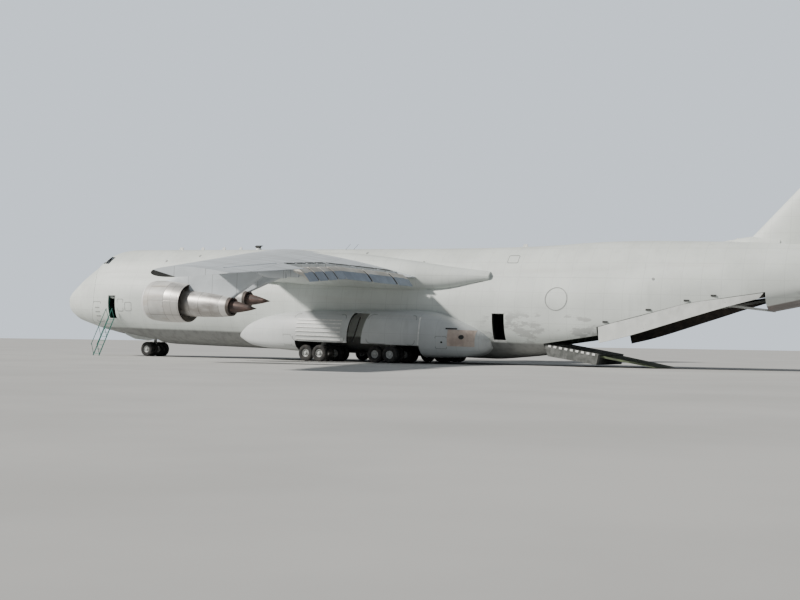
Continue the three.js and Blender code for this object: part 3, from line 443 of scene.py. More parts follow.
def fanPaint():
    paint = Paint("fanMetal")
    spot = paint.aircraftPoint()
    cloud = paint.noise(spot, 6, 5)
    scratch = paint.noise(spot, 54, 3, (0.15, 1, 1))
    tone = paint.mix(cloud.over(0.38, 0.66), (0.09, 0.09, 0.09), (0.20, 0.20, 0.20))
    tone = paint.mix(scratch.over(0.6, 0.8) * 0.25, tone, (0.054, 0.054, 0.054))
    return paint.finish(tone, 0.3 + cloud * 0.25, 0.85, paint.bump(scratch + cloud, 0.2, 0.003))


def painted(name, color, dark, roughness=0.5, size=2.5, grime=0.35, bumpSize=0.2):
    # paint with cloudy wear, streaks downwards and small chips
    paint = Paint(name)
    spot = paint.aircraftPoint()
    cloud = paint.noise(spot, size, 5)
    drips = paint.noise(spot, size * 2.5, 4, (1, 1, 0.1))
    chips = paint.noise(spot, size * 8, 4)
    tone = paint.mix(cloud.over(0.35, 0.7), dark, color)
    tone = paint.mix(drips.over(0.5, 0.75) * grime, tone, [c * 0.55 for c in dark])
    tone = paint.mix(chips.over(0.66, 0.72) * 0.6, tone, (0.16, 0.15, 0.14))
    return paint.finish(tone, roughness + cloud * 0.2, normal=paint.bump(chips + cloud, bumpSize, 0.003))


def engineAlong(paint, spot):
    # distance behind the lip, which lies 3.71 further forward on the inboard engines
    s, y, z = paint.axes(spot)
    inner = 1 - (abs(y) - 15.4).over(-0.1, 0.1)
    return s - 25.4 + inner * 3.71, z


def thinRings(along, *places):
    return reduce(Wire.most, [along.near(at, width) for at, width in places])


def cowlPaint():
    paint = Paint("cowlPaint")
    spot = paint.aircraftPoint()
    along, z = engineAlong(paint, spot)
    cloud = paint.noise(spot, 1.3, 5)
    fine = paint.noise(spot, 9, 4)
    stain = paint.noise(spot, 2.1, 5, (0.25, 1, 1))
    lip = 1 - along.over(0.16, 0.2)
    band = along.between(1.86, 3.2, 0.02)
    rings = thinRings(along, (1.86, 0.03), (0.62, 0.02), (2.42, 0.02), (2.9, 0.02))
    seam = z.every(0.9, 0.03, 0.2) * along.between(0.6, 3.0)
    lines = rings.most(seam)
    tone = paint.mix(cloud.over(0.35, 0.7), (0.50, 0.50, 0.48), (0.60, 0.60, 0.575))
    tone = paint.mix(stain.over(0.5, 0.66) * 0.5, tone, (0.42, 0.37, 0.31))
    tone = paint.mix(band * 0.75, tone, (0.62, 0.60, 0.57))
    tone = paint.mix(lip, tone, (0.72, 0.72, 0.72))
    tone = paint.mix(lines * 0.75, tone, (0.14, 0.13, 0.12))
    return paint.finish(tone, 0.38 + cloud * 0.2 - band * 0.12, band * 0.55 + lip * 0.35,
                        paint.bump(lines * -1 + fine * 0.2, 0.4, 0.006))


def corePaint():
    paint = Paint("corePaint")
    spot = paint.aircraftPoint()
    along, z = engineAlong(paint, spot)
    cloud = paint.noise(spot, 2.2, 5, (0.5, 1, 1))
    soot = paint.noise(spot, 3.2, 5, (0.2, 1, 1))
    rings = thinRings(along, (4.25, 0.03), (5.75, 0.02), (5.1, 0.012), (3.5, 0.02))
    hot = along.over(6.2, 6.24)
    plug = along.over(6.38, 6.42)
    tone = paint.mix(cloud.over(0.35, 0.68), (0.38, 0.36, 0.34), (0.60, 0.59, 0.57))
    tone = paint.mix(soot.over(0.55, 0.7) * 0.55, tone, (0.30, 0.25, 0.20))
    tone = paint.mix(along.between(5.78, 6.2, 0.02) * 0.8, tone, (0.78, 0.76, 0.73))
    tone = paint.mix(hot * 0.9, tone, (0.075, 0.062, 0.055))
    tone = paint.mix(plug, tone, paint.mix(soot.over(0.4, 0.6), (0.17, 0.115, 0.10), (0.09, 0.07, 0.065)))
    tone = paint.mix(rings * 0.8, tone, (0.10, 0.09, 0.085))
    return paint.finish(tone, 0.3 + cloud * 0.25 + hot * 0.2, 0.8 - hot * 0.3,
                        paint.bump(rings * -1 + cloud * 0.3, 0.4, 0.006))


def tyrePaint():
    paint = Paint("tyrePaint")
    spot = paint.aircraftPoint()
    dust = paint.noise(spot, 5, 5)
    fine = paint.noise(spot, 40, 3)
    tone = paint.mix(dust.over(0.4, 0.75) * 0.7, (0.018, 0.018, 0.019), (0.075, 0.070, 0.062))
    return paint.finish(tone, 0.75 + dust * 0.2, normal=paint.bump(fine, 0.25, 0.002))


def glassPaint():
    paint = Paint("cabinGlass", Coat_Weight=1.0, Coat_Roughness=0.03)
    cloud = paint.noise(paint.aircraftPoint(), 3, 3)
    return paint.finish(paint.mix(cloud, (0.012, 0.016, 0.02), (0.03, 0.036, 0.042)), 0.06 + cloud * 0.08)


paints = {
    "hull": hullPaint(), "inside": insidePaint(), "wing": wingPaint(), "cowl": cowlPaint(),
    "core": corePaint(), "tyre": tyrePaint(), "glass": glassPaint(), "fan": fanPaint(),
    "pod": hullPaint("podPaint", (0.56, 0.585, 0.585), (0.27, 0.28, 0.275), 0.75),
    "gear": painted("gearPaint", (0.60, 0.61, 0.60), (0.40, 0.41, 0.40), 0.35, 3, 0.5),
    "hub": painted("hubPaint", (0.62, 0.63, 0.62), (0.42, 0.43, 0.42), 0.35, 8, 0.4),
    "trim": painted("darkTrim", (0.045, 0.047, 0.045), (0.02, 0.021, 0.02), 0.6, 5, 0.3),
    "ramp": painted("rampPaint", (0.16, 0.165, 0.16), (0.08, 0.085, 0.08), 0.65, 3, 0.4, 0.5),
    "deck": painted("deckPaint", (0.42, 0.43, 0.41), (0.27, 0.28, 0.265), 0.6, 2.5, 0.3, 0.4),
    "toe": painted("toePaint", (0.13, 0.165, 0.085), (0.075, 0.09, 0.06), 0.6, 2.5, 0.3, 0.4),
    "green": painted("ladderPaint", (0.10, 0.36, 0.29), (0.06, 0.24, 0.19), 0.5, 8, 0.3),
    "door": painted("doorPaint", (0.60, 0.62, 0.60), (0.50, 0.52, 0.50), 0.5, 1.2, 0.25),
    # inner faces of the doors painted near-black: painted shade
    "doorInsidePaintedShade": painted("doorInsidePaintedShade", (0.07, 0.055, 0.045), (0.03, 0.028, 0.026), 0.7, 2.5, 0.3),
    "entry": painted("entryPaint", (0.03, 0.17, 0.12), (0.015, 0.09, 0.065), 0.5, 6, 0.3),
    # flap tops painted lighter than the wing: painted sunlight
    "flapTop": painted("flapPaint", (0.76, 0.75, 0.70), (0.55, 0.52, 0.46), 0.45, 0.8, 0.3),
    # flap tabs painted bluish: a painted sky reflection
    "flapTab": painted("flapTabPaint", (0.36, 0.42, 0.50), (0.27, 0.32, 0.39), 0.4, 1.5, 0.25),
    "mark": painted("panelMarks", (0.36, 0.38, 0.37), (0.28, 0.29, 0.285), 0.6, 6, 0.2),
    "patch": painted("barePatch", (0.62, 0.53, 0.46), (0.44, 0.35, 0.30), 0.55, 1.6, 0.5),
    "white": painted("whitePaint", (0.85, 0.86, 0.84), (0.70, 0.71, 0.69), 0.4, 5, 0.15),
}
print("finishes made", len(paints))

# Hull sections, front to back; lobe 1 is a full crease between the two lobes
# station, belly, top, height of the greatest width, half width, lobe, power of the lower lobe
hullRows = np.array([
    (0.65, 4.005, 4.135, 4.08, 0.07, 0, 2.3), (0.73, 3.57, 4.37, 4.05, 0.385, 0, 2.3),
    (0.93, 3.15, 4.66, 4.03, 0.735, 0, 2.3), (1.22, 2.87, 4.88, 4.02, 1.055, 0, 2.3),
    (1.65, 2.66, 5.2, 4.01, 1.395, 0, 2.3), (2.41, 2.305, 5.74, 4.0, 1.865, 0, 2.3),
    (3.24, 2.095, 6.34, 4.0, 2.275, 0, 2.3), (4.04, 1.9, 6.86, 4.005, 2.565, 0, 2.3),
    (4.59, 1.76, 7.205, 4.02, 2.72, 0.1, 2.3), (5.01, 1.68, 7.565, 4.03, 2.815, 0.25, 2.3),
    (5.47, 1.58, 7.895, 4.04, 2.935, 0.4, 2.3), (5.94, 1.505, 8.125, 4.06, 3.06, 0.55, 2.3),
    (7.05, 1.31, 8.415, 4.1, 3.31, 0.8, 2.3), (8.12, 1.17, 8.51, 4.12, 3.45, 0.95, 2.3),
    (10.17, 0.87, 8.52, 4.15, 3.54, 1, 2.3), (12.74, 0.62, 8.53, 4.17, 3.57, 1, 2.3),
    (19, 0.6, 8.55, 4.17, 3.57, 1, 2.3), (26.24, 0.6, 8.58, 4.17, 3.57, 1, 2.3),
    (36, 0.6, 8.62, 4.17, 3.57, 1, 2.3), (41.5, 0.6, 8.69, 4.17, 3.57, 1, 2.3),
    (44.02, 0.83, 8.76, 4.19, 3.57, 1, 2.5), (46.4, 1.18, 8.87, 4.26, 3.57, 1, 3.0),
    (48.53, 1.64, 9.03, 4.34, 3.55, 1, 3.6), (50.7, 2.11, 9.12, 4.48, 3.49, 1, 4.0),
    (52.82, 2.6, 9.15, 4.76, 3.39, 0.85, 4.0), (55.58, 3.25, 9.12, 5.25, 3.16, 0.6, 3.6),
    (58.5, 3.92, 9.08, 5.75, 2.82, 0.3, 3.2), (61.3, 4.53, 9.03, 6.15, 2.42, 0.1, 2.8),
    (63.6, 5.04, 8.94, 6.48, 2.03, 0, 2.5), (66, 5.62, 8.79, 6.85, 1.54, 0, 2.3),
    (68.3, 6.23, 8.56, 7.2, 0.96, 0, 2.3), (69.8, 6.7, 8.3, 7.48, 0.5, 0, 2.3),
    (70.3, 7.05, 8.0, 7.53, 0.18, 0, 2.3)])
creaseShare, creaseWidth = 0.51, 0.776


def hullShape(s, inset):
    # the section's measures at stations s, pulled in by the inset, each as a column
    low, top, middle, half, lobe, power = smoothTable(hullRows, s).T[:, :, None]
    bottom, crown, wide = low + inset, top - inset, half - inset
    crease = middle + creaseShare * (crown - middle)
    reach = (crease - middle) / np.sqrt(1 - creaseWidth ** 2)
    rise = crown - crease
    radius = ((creaseWidth * wide) ** 2 + rise ** 2) / (2 * rise)
    return bottom, crown, wide, middle, lobe, power, crease, reach, radius


def hullY(s, z, inset=0.0):
    # half width at a height: a superellipse below, a lobe's arc above, eased to an ellipse where lobe is 0
    shape = np.broadcast(s, z).shape
    s, z = np.broadcast_to(s, shape).ravel(), np.broadcast_to(z, shape).ravel()
    bottom, crown, wide, middle, lobe, power, crease, reach, radius = (v[:, 0] for v in hullShape(s, inset))
    below = wide * np.clip(1 - np.clip((middle - z) / (middle - bottom), 0, 1) ** power, 0, 1) ** (1 / power)
    plain = wide * np.sqrt(np.clip(1 - ((z - middle) / (crown - middle)) ** 2, 0, 1))
    side = wide * np.sqrt(np.clip(1 - ((z - middle) / reach) ** 2, 0, 1))
    upper = np.sqrt(np.clip(radius ** 2 - (z - crown + radius) ** 2, 0, None))
    above = lobe * np.where(z < crease, side, upper) + (1 - lobe) * plain
    return np.where(z < middle, below, above).reshape(shape)


def hullRings(s, inset=0.0, lowest=None, highest=None, points=(22, 7, 20)):
    # rings of heights by equal turns of the lower lobe, side and upper lobe; y follows from the height
    bottom, crown, wide, middle, lobe, power, crease, reach, radius = hullShape(s, inset)
    t = np.linspace(0, pi / 2, points[0] + 1)[None, :]
    low = middle - (middle - bottom) * np.clip(np.cos(t), 0, 1) ** (2 / power)
    side = middle + (crease - middle) * np.arange(1, points[1] + 1) / points[1]
    start = np.arcsin(np.clip((crease - crown + radius) / radius, -1, 1))
    t = start + (pi / 2 - start) * np.arange(1, points[2] + 1) / points[2]
    high = crown - radius + radius * np.sin(t)
    z = np.concatenate([low, side, high], 1)
    if lowest is not None:
        z = np.clip(z, lowest, highest)
    y = hullY(s[:, None], z, inset)
    y[:, 0] = y[:, -1] = 0
    y = np.concatenate([y, -y[:, -2:0:-1]], 1)
    z = np.concatenate([z, z[:, -2:0:-1]], 1)
    return toRow(s[:, None], y, z)


noseTip = 0.65
noseStations = noseTip + np.linspace(0, (8.5 - noseTip) ** 0.5, 70) ** 2
hullStations = np.concatenate([noseStations, np.linspace(8.5, 70.3, 150)[1:]])

deckHeight, ceilingHeight, holdWall = 1.95, 6.06, 0.24
visorEdge = [(4.85, 7.45), (4.98, 7.15), (5.35, 6.15), (5.68, 5.0), (5.74, 4.05), (5.42, 3.05),
             (4.88, 2.1), (4.5, 1.3)]
edgeCurve = smoothTable([(k, *p) for k, p in enumerate(visorEdge)], np.linspace(0, 7, 43))
hingeGap = 0.024
rampHinge = (46.4, 1.86)
bayUnder = [(46.376, 0.9), rampHinge, (50.35, 2.56), (50.35, 3.12), (56.3, 4.85), (61.1, 5.68), (61.1, 0.9)]
crewDoorway = ((7.71, 8.5), (2.6, 4.48))
troopDoorway = ((42.76, 43.67), (2.0, 3.83))
noseBay = ((7.75, 11.75), (-1.56, 1.56), (0, 1.74))


def aheadOf(edge, gap):
    outline = [(-0.5, 1.0), (-0.5, 9.0), (edge[0][0] + gap, 9.0)] + [(s + gap, z) for s, z in edge]
    return prism(outline + [(edge[-1][0] + gap, 1.0)], -4, 4)


def cabinShape():
    # the cabin's floor is flat and its front slopes up to the windows' sill
    s = np.linspace(5.2, 9.6, 24)
    floor = np.maximum(6.62, 7.33 - (s - 5.15) * 0.95)
    return loftShape(hullRings(s, 0.13, floor[:, None], 20))


# Panes: station from and to, y from and to
paneRows = [((4.1, 5.73), (0.055, 0.76)), ((4.1, 5.73), (0.87, 4)), ((5.83, 6.8), (0.87, 4))]
bandLow = np.array([(4.1, 7.62), (5.04, 7.6), (5.33, 7.24), (6.45, 7.2), (6.8, 7.76)])
bandHigh = np.array([(4.1, 7.96), (5.56, 7.96), (5.9, 7.86), (6.8, 7.78)])


def paneShape(stations, sides):
    s = np.linspace(*stations, 25)
    low, high = np.interp(s, *bandLow.T), np.interp(s, *bandHigh.T)
    return prism([*zip(s, low), *zip(s[::-1], high[::-1])], *sides)


panes = [paneShape(*row) for row in paneRows]
hull = addMesh("hull", *loftShape(hullRings(hullStations)), paints["hull"], sharp=30)
carve(hull, aheadOf(edgeCurve, hingeGap))
holdStations = np.concatenate([np.linspace(4.3, 10, 12), np.linspace(11, 61.3, 52)])
holdRings = hullRings(holdStations, holdWall, deckHeight, ceilingHeight, (12, 4, 10))
carve(hull, loftShape(holdRings), material=paints["inside"])
carve(hull, prism(bayUnder, -4.2, 4.2), material=paints["inside"])
carve(hull, cabinShape(), material=paints["trim"])
openings = panes + [mirrorShape(p) for p in panes]
openings += [box(troopDoorway[0], (1.5, 4), troopDoorway[1]), box(*noseBay)]
carve(hull, joinShapes(openings), material=paints["trim"])
carve(hull, box(crewDoorway[0], (1.5, 4), crewDoorway[1]), material=paints["entry"])
settle(hull, 28)
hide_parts("fuselage_forward", "fuselage_centre", "fuselage_aft")
print("hull", len(hull.data.polygons))

visorStations = noseTip + np.linspace(0, (6.2 - noseTip) ** 0.5, 64) ** 2
visor = addMesh("noseVisor", *loftShape(hullRings(visorStations)), paints["hull"], sharp=30)
carve(visor, aheadOf(edgeCurve, 0), "INTERSECT", paints["trim"])
visorInside = hullRings(np.linspace(0.9, 7, 30), holdWall, points=(12, 4, 10))
carve(visor, loftShape(visorInside), material=paints["inside"])
settle(visor, 28, "visor")
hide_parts("nose_visor")
print("visor", len(visor.data.polygons))


def mirrorThing(thing, name, body):
    mesh = thing.data.copy()
    mesh.transform(Matrix.Diagonal((1, -1, 1, 1)))
    mesh.flip_normals()
    other = bpy.data.objects.new(name, mesh)
    bpy.context.scene.collection.objects.link(other)
    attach(other, body)
    return other


def turnShape(shape, point, direction, angle):
    # Rodrigues' turn of every point about the line through point along direction
    points = np.asarray(shape[0], float).reshape(-1, 3) - point
    k = np.asarray(direction) / np.linalg.norm(direction)
    turned = points * cos(angle) + np.cross(k, points) * sin(angle)
    return turned + np.outer(points @ k, k) * (1 - cos(angle)) + point, shape[1]


# Wings, fin and tailplane: sections are a thin symmetric foil bowed by the camber
def foilHalf(t, thickness):
    # half the thickness at a share of the chord, by the usual series, with a thin trailing edge
    series = 0.2969 * t ** 0.5 - 0.126 * t - 0.3516 * t ** 2 + 0.2843 * t ** 3 - 0.1015 * t ** 4
    return thickness * (5 * series + 0.006 * t)


def foilRings(front, back, rise, thickness, camber=0.0, first=0.0, nose=0.0, count=26):
    # points run from the trailing edge over the top to the nose and back below; a part that starts
    # at a share of the chord above 0 narrows to its nose as a wedge, or a round one where nose is 0
    front, back = np.asarray(front, float)[:, None], np.asarray(back, float)[:, None]
    first, thickness = (np.broadcast_to(v, (len(front),))[:, None] for v in (first, thickness))
    turn = (1 - np.cos(np.linspace(0, pi, count + 1))[None]) / 2
    t = first + (1 - first) * turn
    half = foilHalf(t, thickness)
    bow = camber * 4 * t * (1 - t)
    high, low = bow + half, bow - half
    if nose:
        high, low = (v * np.clip((t - first) / (nose * abs(v) + 1e-9), 0, 1) for v in (high, low))
    elif np.any(first > 0):
        along = np.clip((t - first) / (0.12 * (1 - first)), 0, 1)
        half = half * np.sqrt(1 - (1 - along) ** 2)
        high, low = bow + half, bow - half
    chord = (back - front)[:, :, :1]
    t, high, low = t[:, :, None], high[:, :, None], low[:, :, None]
    line = front + (back - front) * t
    upper, lower = line + chord * high * rise, line + chord * low * rise
    points = np.concatenate([upper[:, ::-1], lower[:, 1:]], 1)
    return toRow(*np.moveaxis(points, -1, 0))


wingSize = {
    "flapShares": ((4.7, 0.915), (13.51, 0.87), (13.69, 0.87), (21.4, 0.82)), "flapDrop": 22,
    "pivotBelow": 1.15, "aileron": ((22.1, 0.76), (31.6, 0.74)), "slot": 0.024, "camber": 0.014,
}
# y, leading edge station and height, trailing edge station and height, thickness
wingRows = [(0.3, 20.055, 7.92, 36.915, 6.255, 0.106), (4.0, 21.99, 7.59, 36.85, 6.28, 0.106),
            (13.6, 27.005, 6.71, 36.6, 6.34, 0.118), (22.0, 31.395, 5.94, 38.855, 5.79, 0.115),
            (33.95, 37.64, 4.85, 42.415, 4.88, 0.11)]
up = np.array((0, 0, 1.0))
outward = np.array((0, 1.0, 0))


def wingEdges(at):
    row = straightTable(wingRows, at)
    at = np.atleast_1d(np.asarray(at, float))
    front, back = (np.column_stack([row[:, k], at, row[:, k + 1]]) for k in (0, 2))
    return front, back, row[:, 4]


def onWing(y, share):
    front, back = wingEdges(y)[:2]
    return (front + (back - front) * share)[0]


def wingPart(y, shares=None, nose=0.0, aft=0.0):
    front, back, thickness = wingEdges(y)
    first = 0.0 if shares is None else np.interp(y, *zip(*shares)) + aft / (back - front)[:, 0]
    return loftShape(foilRings(front, back, up, thickness, wingSize["camber"], first, nose))


def cutRegion(a, b, gapA, gapB, forward=0.0, far=46.0, heights=(3, 10)):
    # plan region aft of the line a-b, each end moved by its gap along the line
    way = (b - a) / (b[1] - a[1])
    a, b = a - way * gapA, b + way * gapB
    outline = [(a[0] - forward, a[1]), (b[0] - forward, b[1]), (far, b[1]), (far, a[1])]
    return prism(outline, *heights, way="plan")


flapLine = [onWing(y, share) for y, share in wingSize["flapShares"]]
aileronLine = [onWing(y, share) for y, share in wingSize["aileron"]]
span = np.unique(np.concatenate([np.linspace(0.3, 33.95, 35), [row[0] for row in wingRows]]))
wing = addMesh("wingLeft", *wingPart(span), paints["wing"])
carve(wing, cutRegion(flapLine[0], flapLine[1], 0.18, 0))
carve(wing, cutRegion(flapLine[1], flapLine[3], 0, 0.18))
carve(wing, cutRegion(*aileronLine, 0.06, 0.11, wingSize["slot"]))

engines = {"outboard": (18.9, 25.4, 3.83), "inboard": (12.0, 21.69, 4.48)}
engineTilt = radians(2.6)


def pylonShape(y, s, z):
    # the side outline in layers; outer layers are drawn in, so that the edges are round
    top, under = onWing(y, 0), onWing(y, 0.55)
    outline = np.array([
        (s + 0.7, z + 1.18), (s + 1.9, z + 1.55), (top[0] - 0.9, top[2] - 0.26),
        (top[0] - 0.2, top[2] - 0.02), (top[0] + 0.3, top[2] + 0.12), (under[0], under[2] + 0.1),
        (under[0] + 0.3, under[2] - 0.25), (s + 6.3, z + 0.16), (s + 3.6, z + 0.25), (s + 1.6, z + 1.18)])
    middle = outline.mean(0)
    rings = []
    for v in np.linspace(-pi / 2, pi / 2, 9):
        layer = middle + (outline - middle) * (0.9 + 0.1 * cos(v), 1)
        rings.append(toRow(layer[:, 0], y + 0.19 * sin(v), layer[:, 1]))
    return loftShape(rings)


def engineSpin(profile, y, s, z, sides=72, closed=False):
    centre = toRow(s, y, z)
    axis = toRow(s + cos(engineTilt), y, z - sin(engineTilt)) - centre
    return spin(profile, centre, axis, sides, closed)


# The tip's end leans in towards its lower side and its front; there it is painted dark, a painted shade
tipCut = np.array([(34.0, 5.3), (33.3, 4.4), (36, 4.4), (36, 5.3)])
tipFade = np.array([(0.75, 0), (0.75, 0), (0, 0), (0, 0)])
tipRings = [toRow(s, *(tipCut + tipFade * k).T) for k, s in ((-0.1, 36.5), (1, 40.9))]
# the tip's end face takes the dark trim as painted shade
carve(wing, loftShape(tipRings), material=paints["trim"])
for y, s, z in engines.values():
    carve(wing, pylonShape(y, s, z), "UNION")
    clear = [(0, 0), (0, 1.22), (0.3, 1.27), (1.15, 1.315), (2.1, 1.29), (2.99, 1.2), (3.0, 0.8), (3.2, 0.8),
             (4.3, 0.77), (5.3, 0.705), (6.42, 0.56), (6.42, 0)]
    carve(wing, engineSpin(clear, y, s, z, 48))
canoe = {"places": (6.2, 9.0, 11.8, 15.2, 18.0, 20.7), "shares": (0.5, 0.8), "half": (0.13, 0.33)}
t = np.linspace(0, 1, 15)[:, None]
# its girth grows as a quarter of an ellipse over the first 0.55 of its length
fat = np.sqrt(np.clip(1 - (1 - np.clip(t / 0.55, 0, 1)) ** 2, 0.02, 1))
turn = np.arange(20) * pi / 10
for y in canoe["places"]:
    a, b = (onWing(y, share) for share in canoe["shares"])
    s = a[0] + (b[0] - 0.06 - a[0]) * t
    z = a[2] + (b[2] - a[2]) * t - 0.1 - 0.2 * fat + canoe["half"][1] * fat * np.sin(turn)
    carve(wing, loftShape(toRow(s, y + canoe["half"][0] * fat * np.cos(turn), z)), "UNION")
carve(wing, loftShape(hullRings(np.linspace(16, 44, 30), -0.003)))
settle(wing, 32)
mirrorThing(wing, "wingRight", "airframe")
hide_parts("wing_left", "wing_right")
print("wings", len(wing.data.polygons))

# Flaps: separate panels on a darker spar, each bent down behind a share of its depth; their tops are painted
# lighter than the wing as painted sunlight, their tabs bluish as a painted sky reflection
flapPanels = {"inboard": (4.7, 6.9, 10.3, 13.51), "outboard": (13.69, 15.6, 17.55, 19.5, 21.4)}
flapDetail = {"gap": 0.24, "tab": 0.55, "bend": 0.3, "spar": 0.12}


def fromRow(points):
    points = np.asarray(points, float).reshape(-1, 3)
    return np.stack(fromGround((points[:, 0] - mainX) / modelScale, points[:, 1] / modelScale,
                               points[:, 2] / modelScale), -1)


def tabLine(y):
    # station of the bend, at a share of the way from the flap's nose to its trailing edge
    front, back = wingEdges(y)[:2]
    share = np.interp(y, *zip(*wingSize["flapShares"]))
    return front[:, 0] + (back - front)[:, 0] * (share + (1 - share) * flapDetail["tab"])


def bendTab(shape):
    # every point behind the tab's line sinks by its distance times the bend
    s, y, z = fromRow(shape[0]).T
    return toRow(s, y, z - flapDetail["bend"] * np.clip(s - tabLine(y), 0, None)), shape[1]


def flapShape(y1, y2, cut, count=5):
    # the nose follows the straight cut in the wing
    y = np.linspace(y1, y2, count)
    front, back = wingEdges(y)[:2]
    nose = np.interp(y, (cut[0][1], cut[1][1]), (cut[0][0], cut[1][0]))
    return bendTab(wingPart(y, list(zip(y, (nose - front[:, 0]) / (back - front)[:, 0])), aft=0.045))


def paintTab(flap, lower):
    # faces behind the tab's line get the second finish, a bluish painted sky reflection, found on the flap
    # turned back up
    middle = np.empty(len(flap.data.polygons) * 3)
    flap.data.polygons.foreach_get("center", middle)
    middle = middle.reshape(-1, 3) * (1, 1 if "Left" in flap.name else -1, 1)
    raised = turnShape((middle, None), lower[0], lower[1], -lower[2])[0]
    s, y, z = fromRow(raised).T
    flap.data.materials.append(paints["flapTab"])
    flap.data.polygons.foreach_set("material_index", (s > tabLine(y)).astype(np.int32))


for k, (part, stops) in enumerate(flapPanels.items()):
    a, b = flapLine[2 * k], flapLine[2 * k + 1]
    low = toRow(a[0], a[1], a[2] - wingSize["pivotBelow"])
    lower = (low, toRow(*b) - toRow(*a), -radians(wingSize["flapDrop"]))
    gap, cut = flapDetail["gap"], (flapLine[k], flapLine[2 * k + 1])
    pieces = []
    for j, (y1, y2) in enumerate(zip(stops, stops[1:])):
        inner, outer = (gap / 2 if j else 0), (gap / 2 if j + 2 < len(stops) else 0)
        pieces.append(turnShape(flapShape(y1 + inner, y2 - outer, cut), *lower))
    spars = []
    for y1 in stops[1:-1]:
        points, faces = turnShape(flapShape(y1 - gap, y1 + gap, cut, 3), *lower)
        # each of the three rings shrinks towards its own middle
        points = points.reshape(3, -1, 3)
        middle = points.mean(1, keepdims=True)
        spars.append((middle + (points - middle) * (1 - flapDetail["spar"]), faces))
    body = f"flap_{part}_{{}}"
    for flap in addBoth(f"flap{part.title()}", joinShapes(pieces), paints["flapTop"], body,
                        "airframe_paint", body):
        paintTab(flap, lower)
    addBoth(f"flapSpars{part.title()}", joinShapes(spars), paints["trim"], body, "airframe_paint")


def wingTop(y, share, lift):
    # point on the wing's upper side at a share of the chord, raised by the lift
    front, back, thickness = (v[0] for v in wingEdges(y))
    rise = wingSize["camber"] * 4 * share * (1 - share) + foilHalf(share, thickness)
    return front + (back - front) * share + up * ((back - front)[0] * rise + lift)


def wingPlate(y1, y2):
    # plate along the wing's upper side, from a share of the chord ahead of the flap's nose to another
    rings = []
    for y in np.linspace(y1, y2, 4):
        nose = np.interp(y, *zip(*wingSize["flapShares"]))
        shares = np.linspace(nose + slotShadeSize["shares"][0], nose + slotShadeSize["shares"][1], 5)
        high = [wingTop(y, share, slotShadeSize["lift"]) for share in shares]
        rings.append([toRow(*p) for p in high] + [toRow(*(p - up * slotShadeSize["thick"])) for p in high[::-1]])
    return loftShape(rings)


# Dark strips that lie on the wing's upper side in front of each flap panel: painted shade for the gap ahead
# of each flap
slotShadeSize = {"shares": (-0.032, -0.003), "gap": 0.42, "lift": 0.03, "thick": 0.05}
slotShadeStrips = [wingPlate(y1 + slotShadeSize["gap"] / 2, y2 - slotShadeSize["gap"] / 2)
         for stops in flapPanels.values() for y1, y2 in zip(stops, stops[1:])]
addBoth("wingSlots", joinShapes(slotShadeStrips), paints["trim"], "airframe", "cabin_trim")
shape = wingPart(np.linspace(22.1, 31.6, 15), wingSize["aileron"], nose=0.5)
addBoth("aileron", shape, paints["wing"], "aileron_{}", "airframe_paint", "aileron_{}")
print("flaps and ailerons")

# Fairing over each wing root: station, outer y, low, high
fairingRows = [(18.6, 2.9, 6.5, 7.6), (20, 3.3, 6.1, 7.9), (22.5, 3.9, 5.9, 8.05), (30, 4.15, 5.5, 8.0),
               (35.5, 4.05, 5.35, 7.5), (38.5, 3.75, 5.4, 7.1), (42.2, 3.1, 6.1, 6.7)]
s = np.linspace(18.6, 42.2, 60)
y, low, high = smoothTable(fairingRows, s).T[:, :, None]
turn = np.linspace(-pi / 2, pi / 2, 25)[None]
fairY = 2.3 + (y - 2.3) * np.abs(np.cos(turn)) ** 0.45
fairZ = (low + high) / 2 + (high - low) / 2 * np.sin(turn) + 0.12 * np.clip(np.sin(turn), 0, 1) ** 6
rings = toRow(s[:, None], np.hstack([fairY, np.full_like(fairY, 2.0)]), np.hstack([fairZ, fairZ[:, ::-1]]))
fairing = addMesh("wingFairingLeft", *loftShape(rings), paints["hull"])
carve(fairing, loftShape(hullRings(np.linspace(16, 44, 30), -0.003)))
settle(fairing, 30)
mirrorThing(fairing, "wingFairingRight", "airframe")
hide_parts("wing_fairing_left", "wing_fairing_right")
print("fairings", len(fairing.data.polygons))

# Engines: distance behind the lip and radius, turned about the engine's axis
cowlRows = [(0, 1.15), (0.015, 1.18), (0.07, 1.215), (0.3, 1.285), (0.7, 1.318), (1.15, 1.33),
            (1.6, 1.323), (2.1, 1.305), (2.6, 1.268), (3.0, 1.225), (3.0, 1.195), (2.2, 1.155),
            (1.3, 1.11), (0.8, 1.08), (0.3, 1.07), (0.08, 1.09), (0.015, 1.12)]
coreRows = [(1.48, 0), (1.48, 0.56), (1.9, 0.66), (2.3, 0.76), (2.75, 0.81), (3.2, 0.83), (4.3, 0.795),
            (5.3, 0.73), (5.9, 0.665), (6.42, 0.585), (6.4, 0.48), (6.2, 0.42), (6.5, 0.39), (7.0, 0.31),
            (7.6, 0.18), (8.25, 0)]
hubProfile = [(0.66, 0), (0.7, 0.06), (0.85, 0.16), (1.0, 0.25), (1.18, 0.33), (1.44, 0.34), (1.44, 0)]
vanePlate = [(1.58, -0.012), (1.58, 0.012), (1.76, 0.03), (1.76, 0.006)]
fanSize = {"blades": 33, "root": 0.33, "tip": 1.045, "chord": 0.2, "twist": (0.6, 1.12), "at": 1.2}
# a blade's section: a lens, flatter below, across and up in shares of the chord
bladeLens = np.array([(0.5, 0), (0.25, 0.035), (0, 0.045), (-0.25, 0.035), (-0.5, 0), (-0.25, -0.02),
                      (0, -0.01), (0.25, -0.02)]).T[:, None] * fanSize["chord"]


def spokes(count, outwards, upwards):
    # radial and sideways directions at equal turns about the engine's axis
    for k in range(count):
        turn = 2 * pi * k / count
        yield [outwards * cos(v) + upwards * sin(v) for v in (turn, turn + pi / 2)]


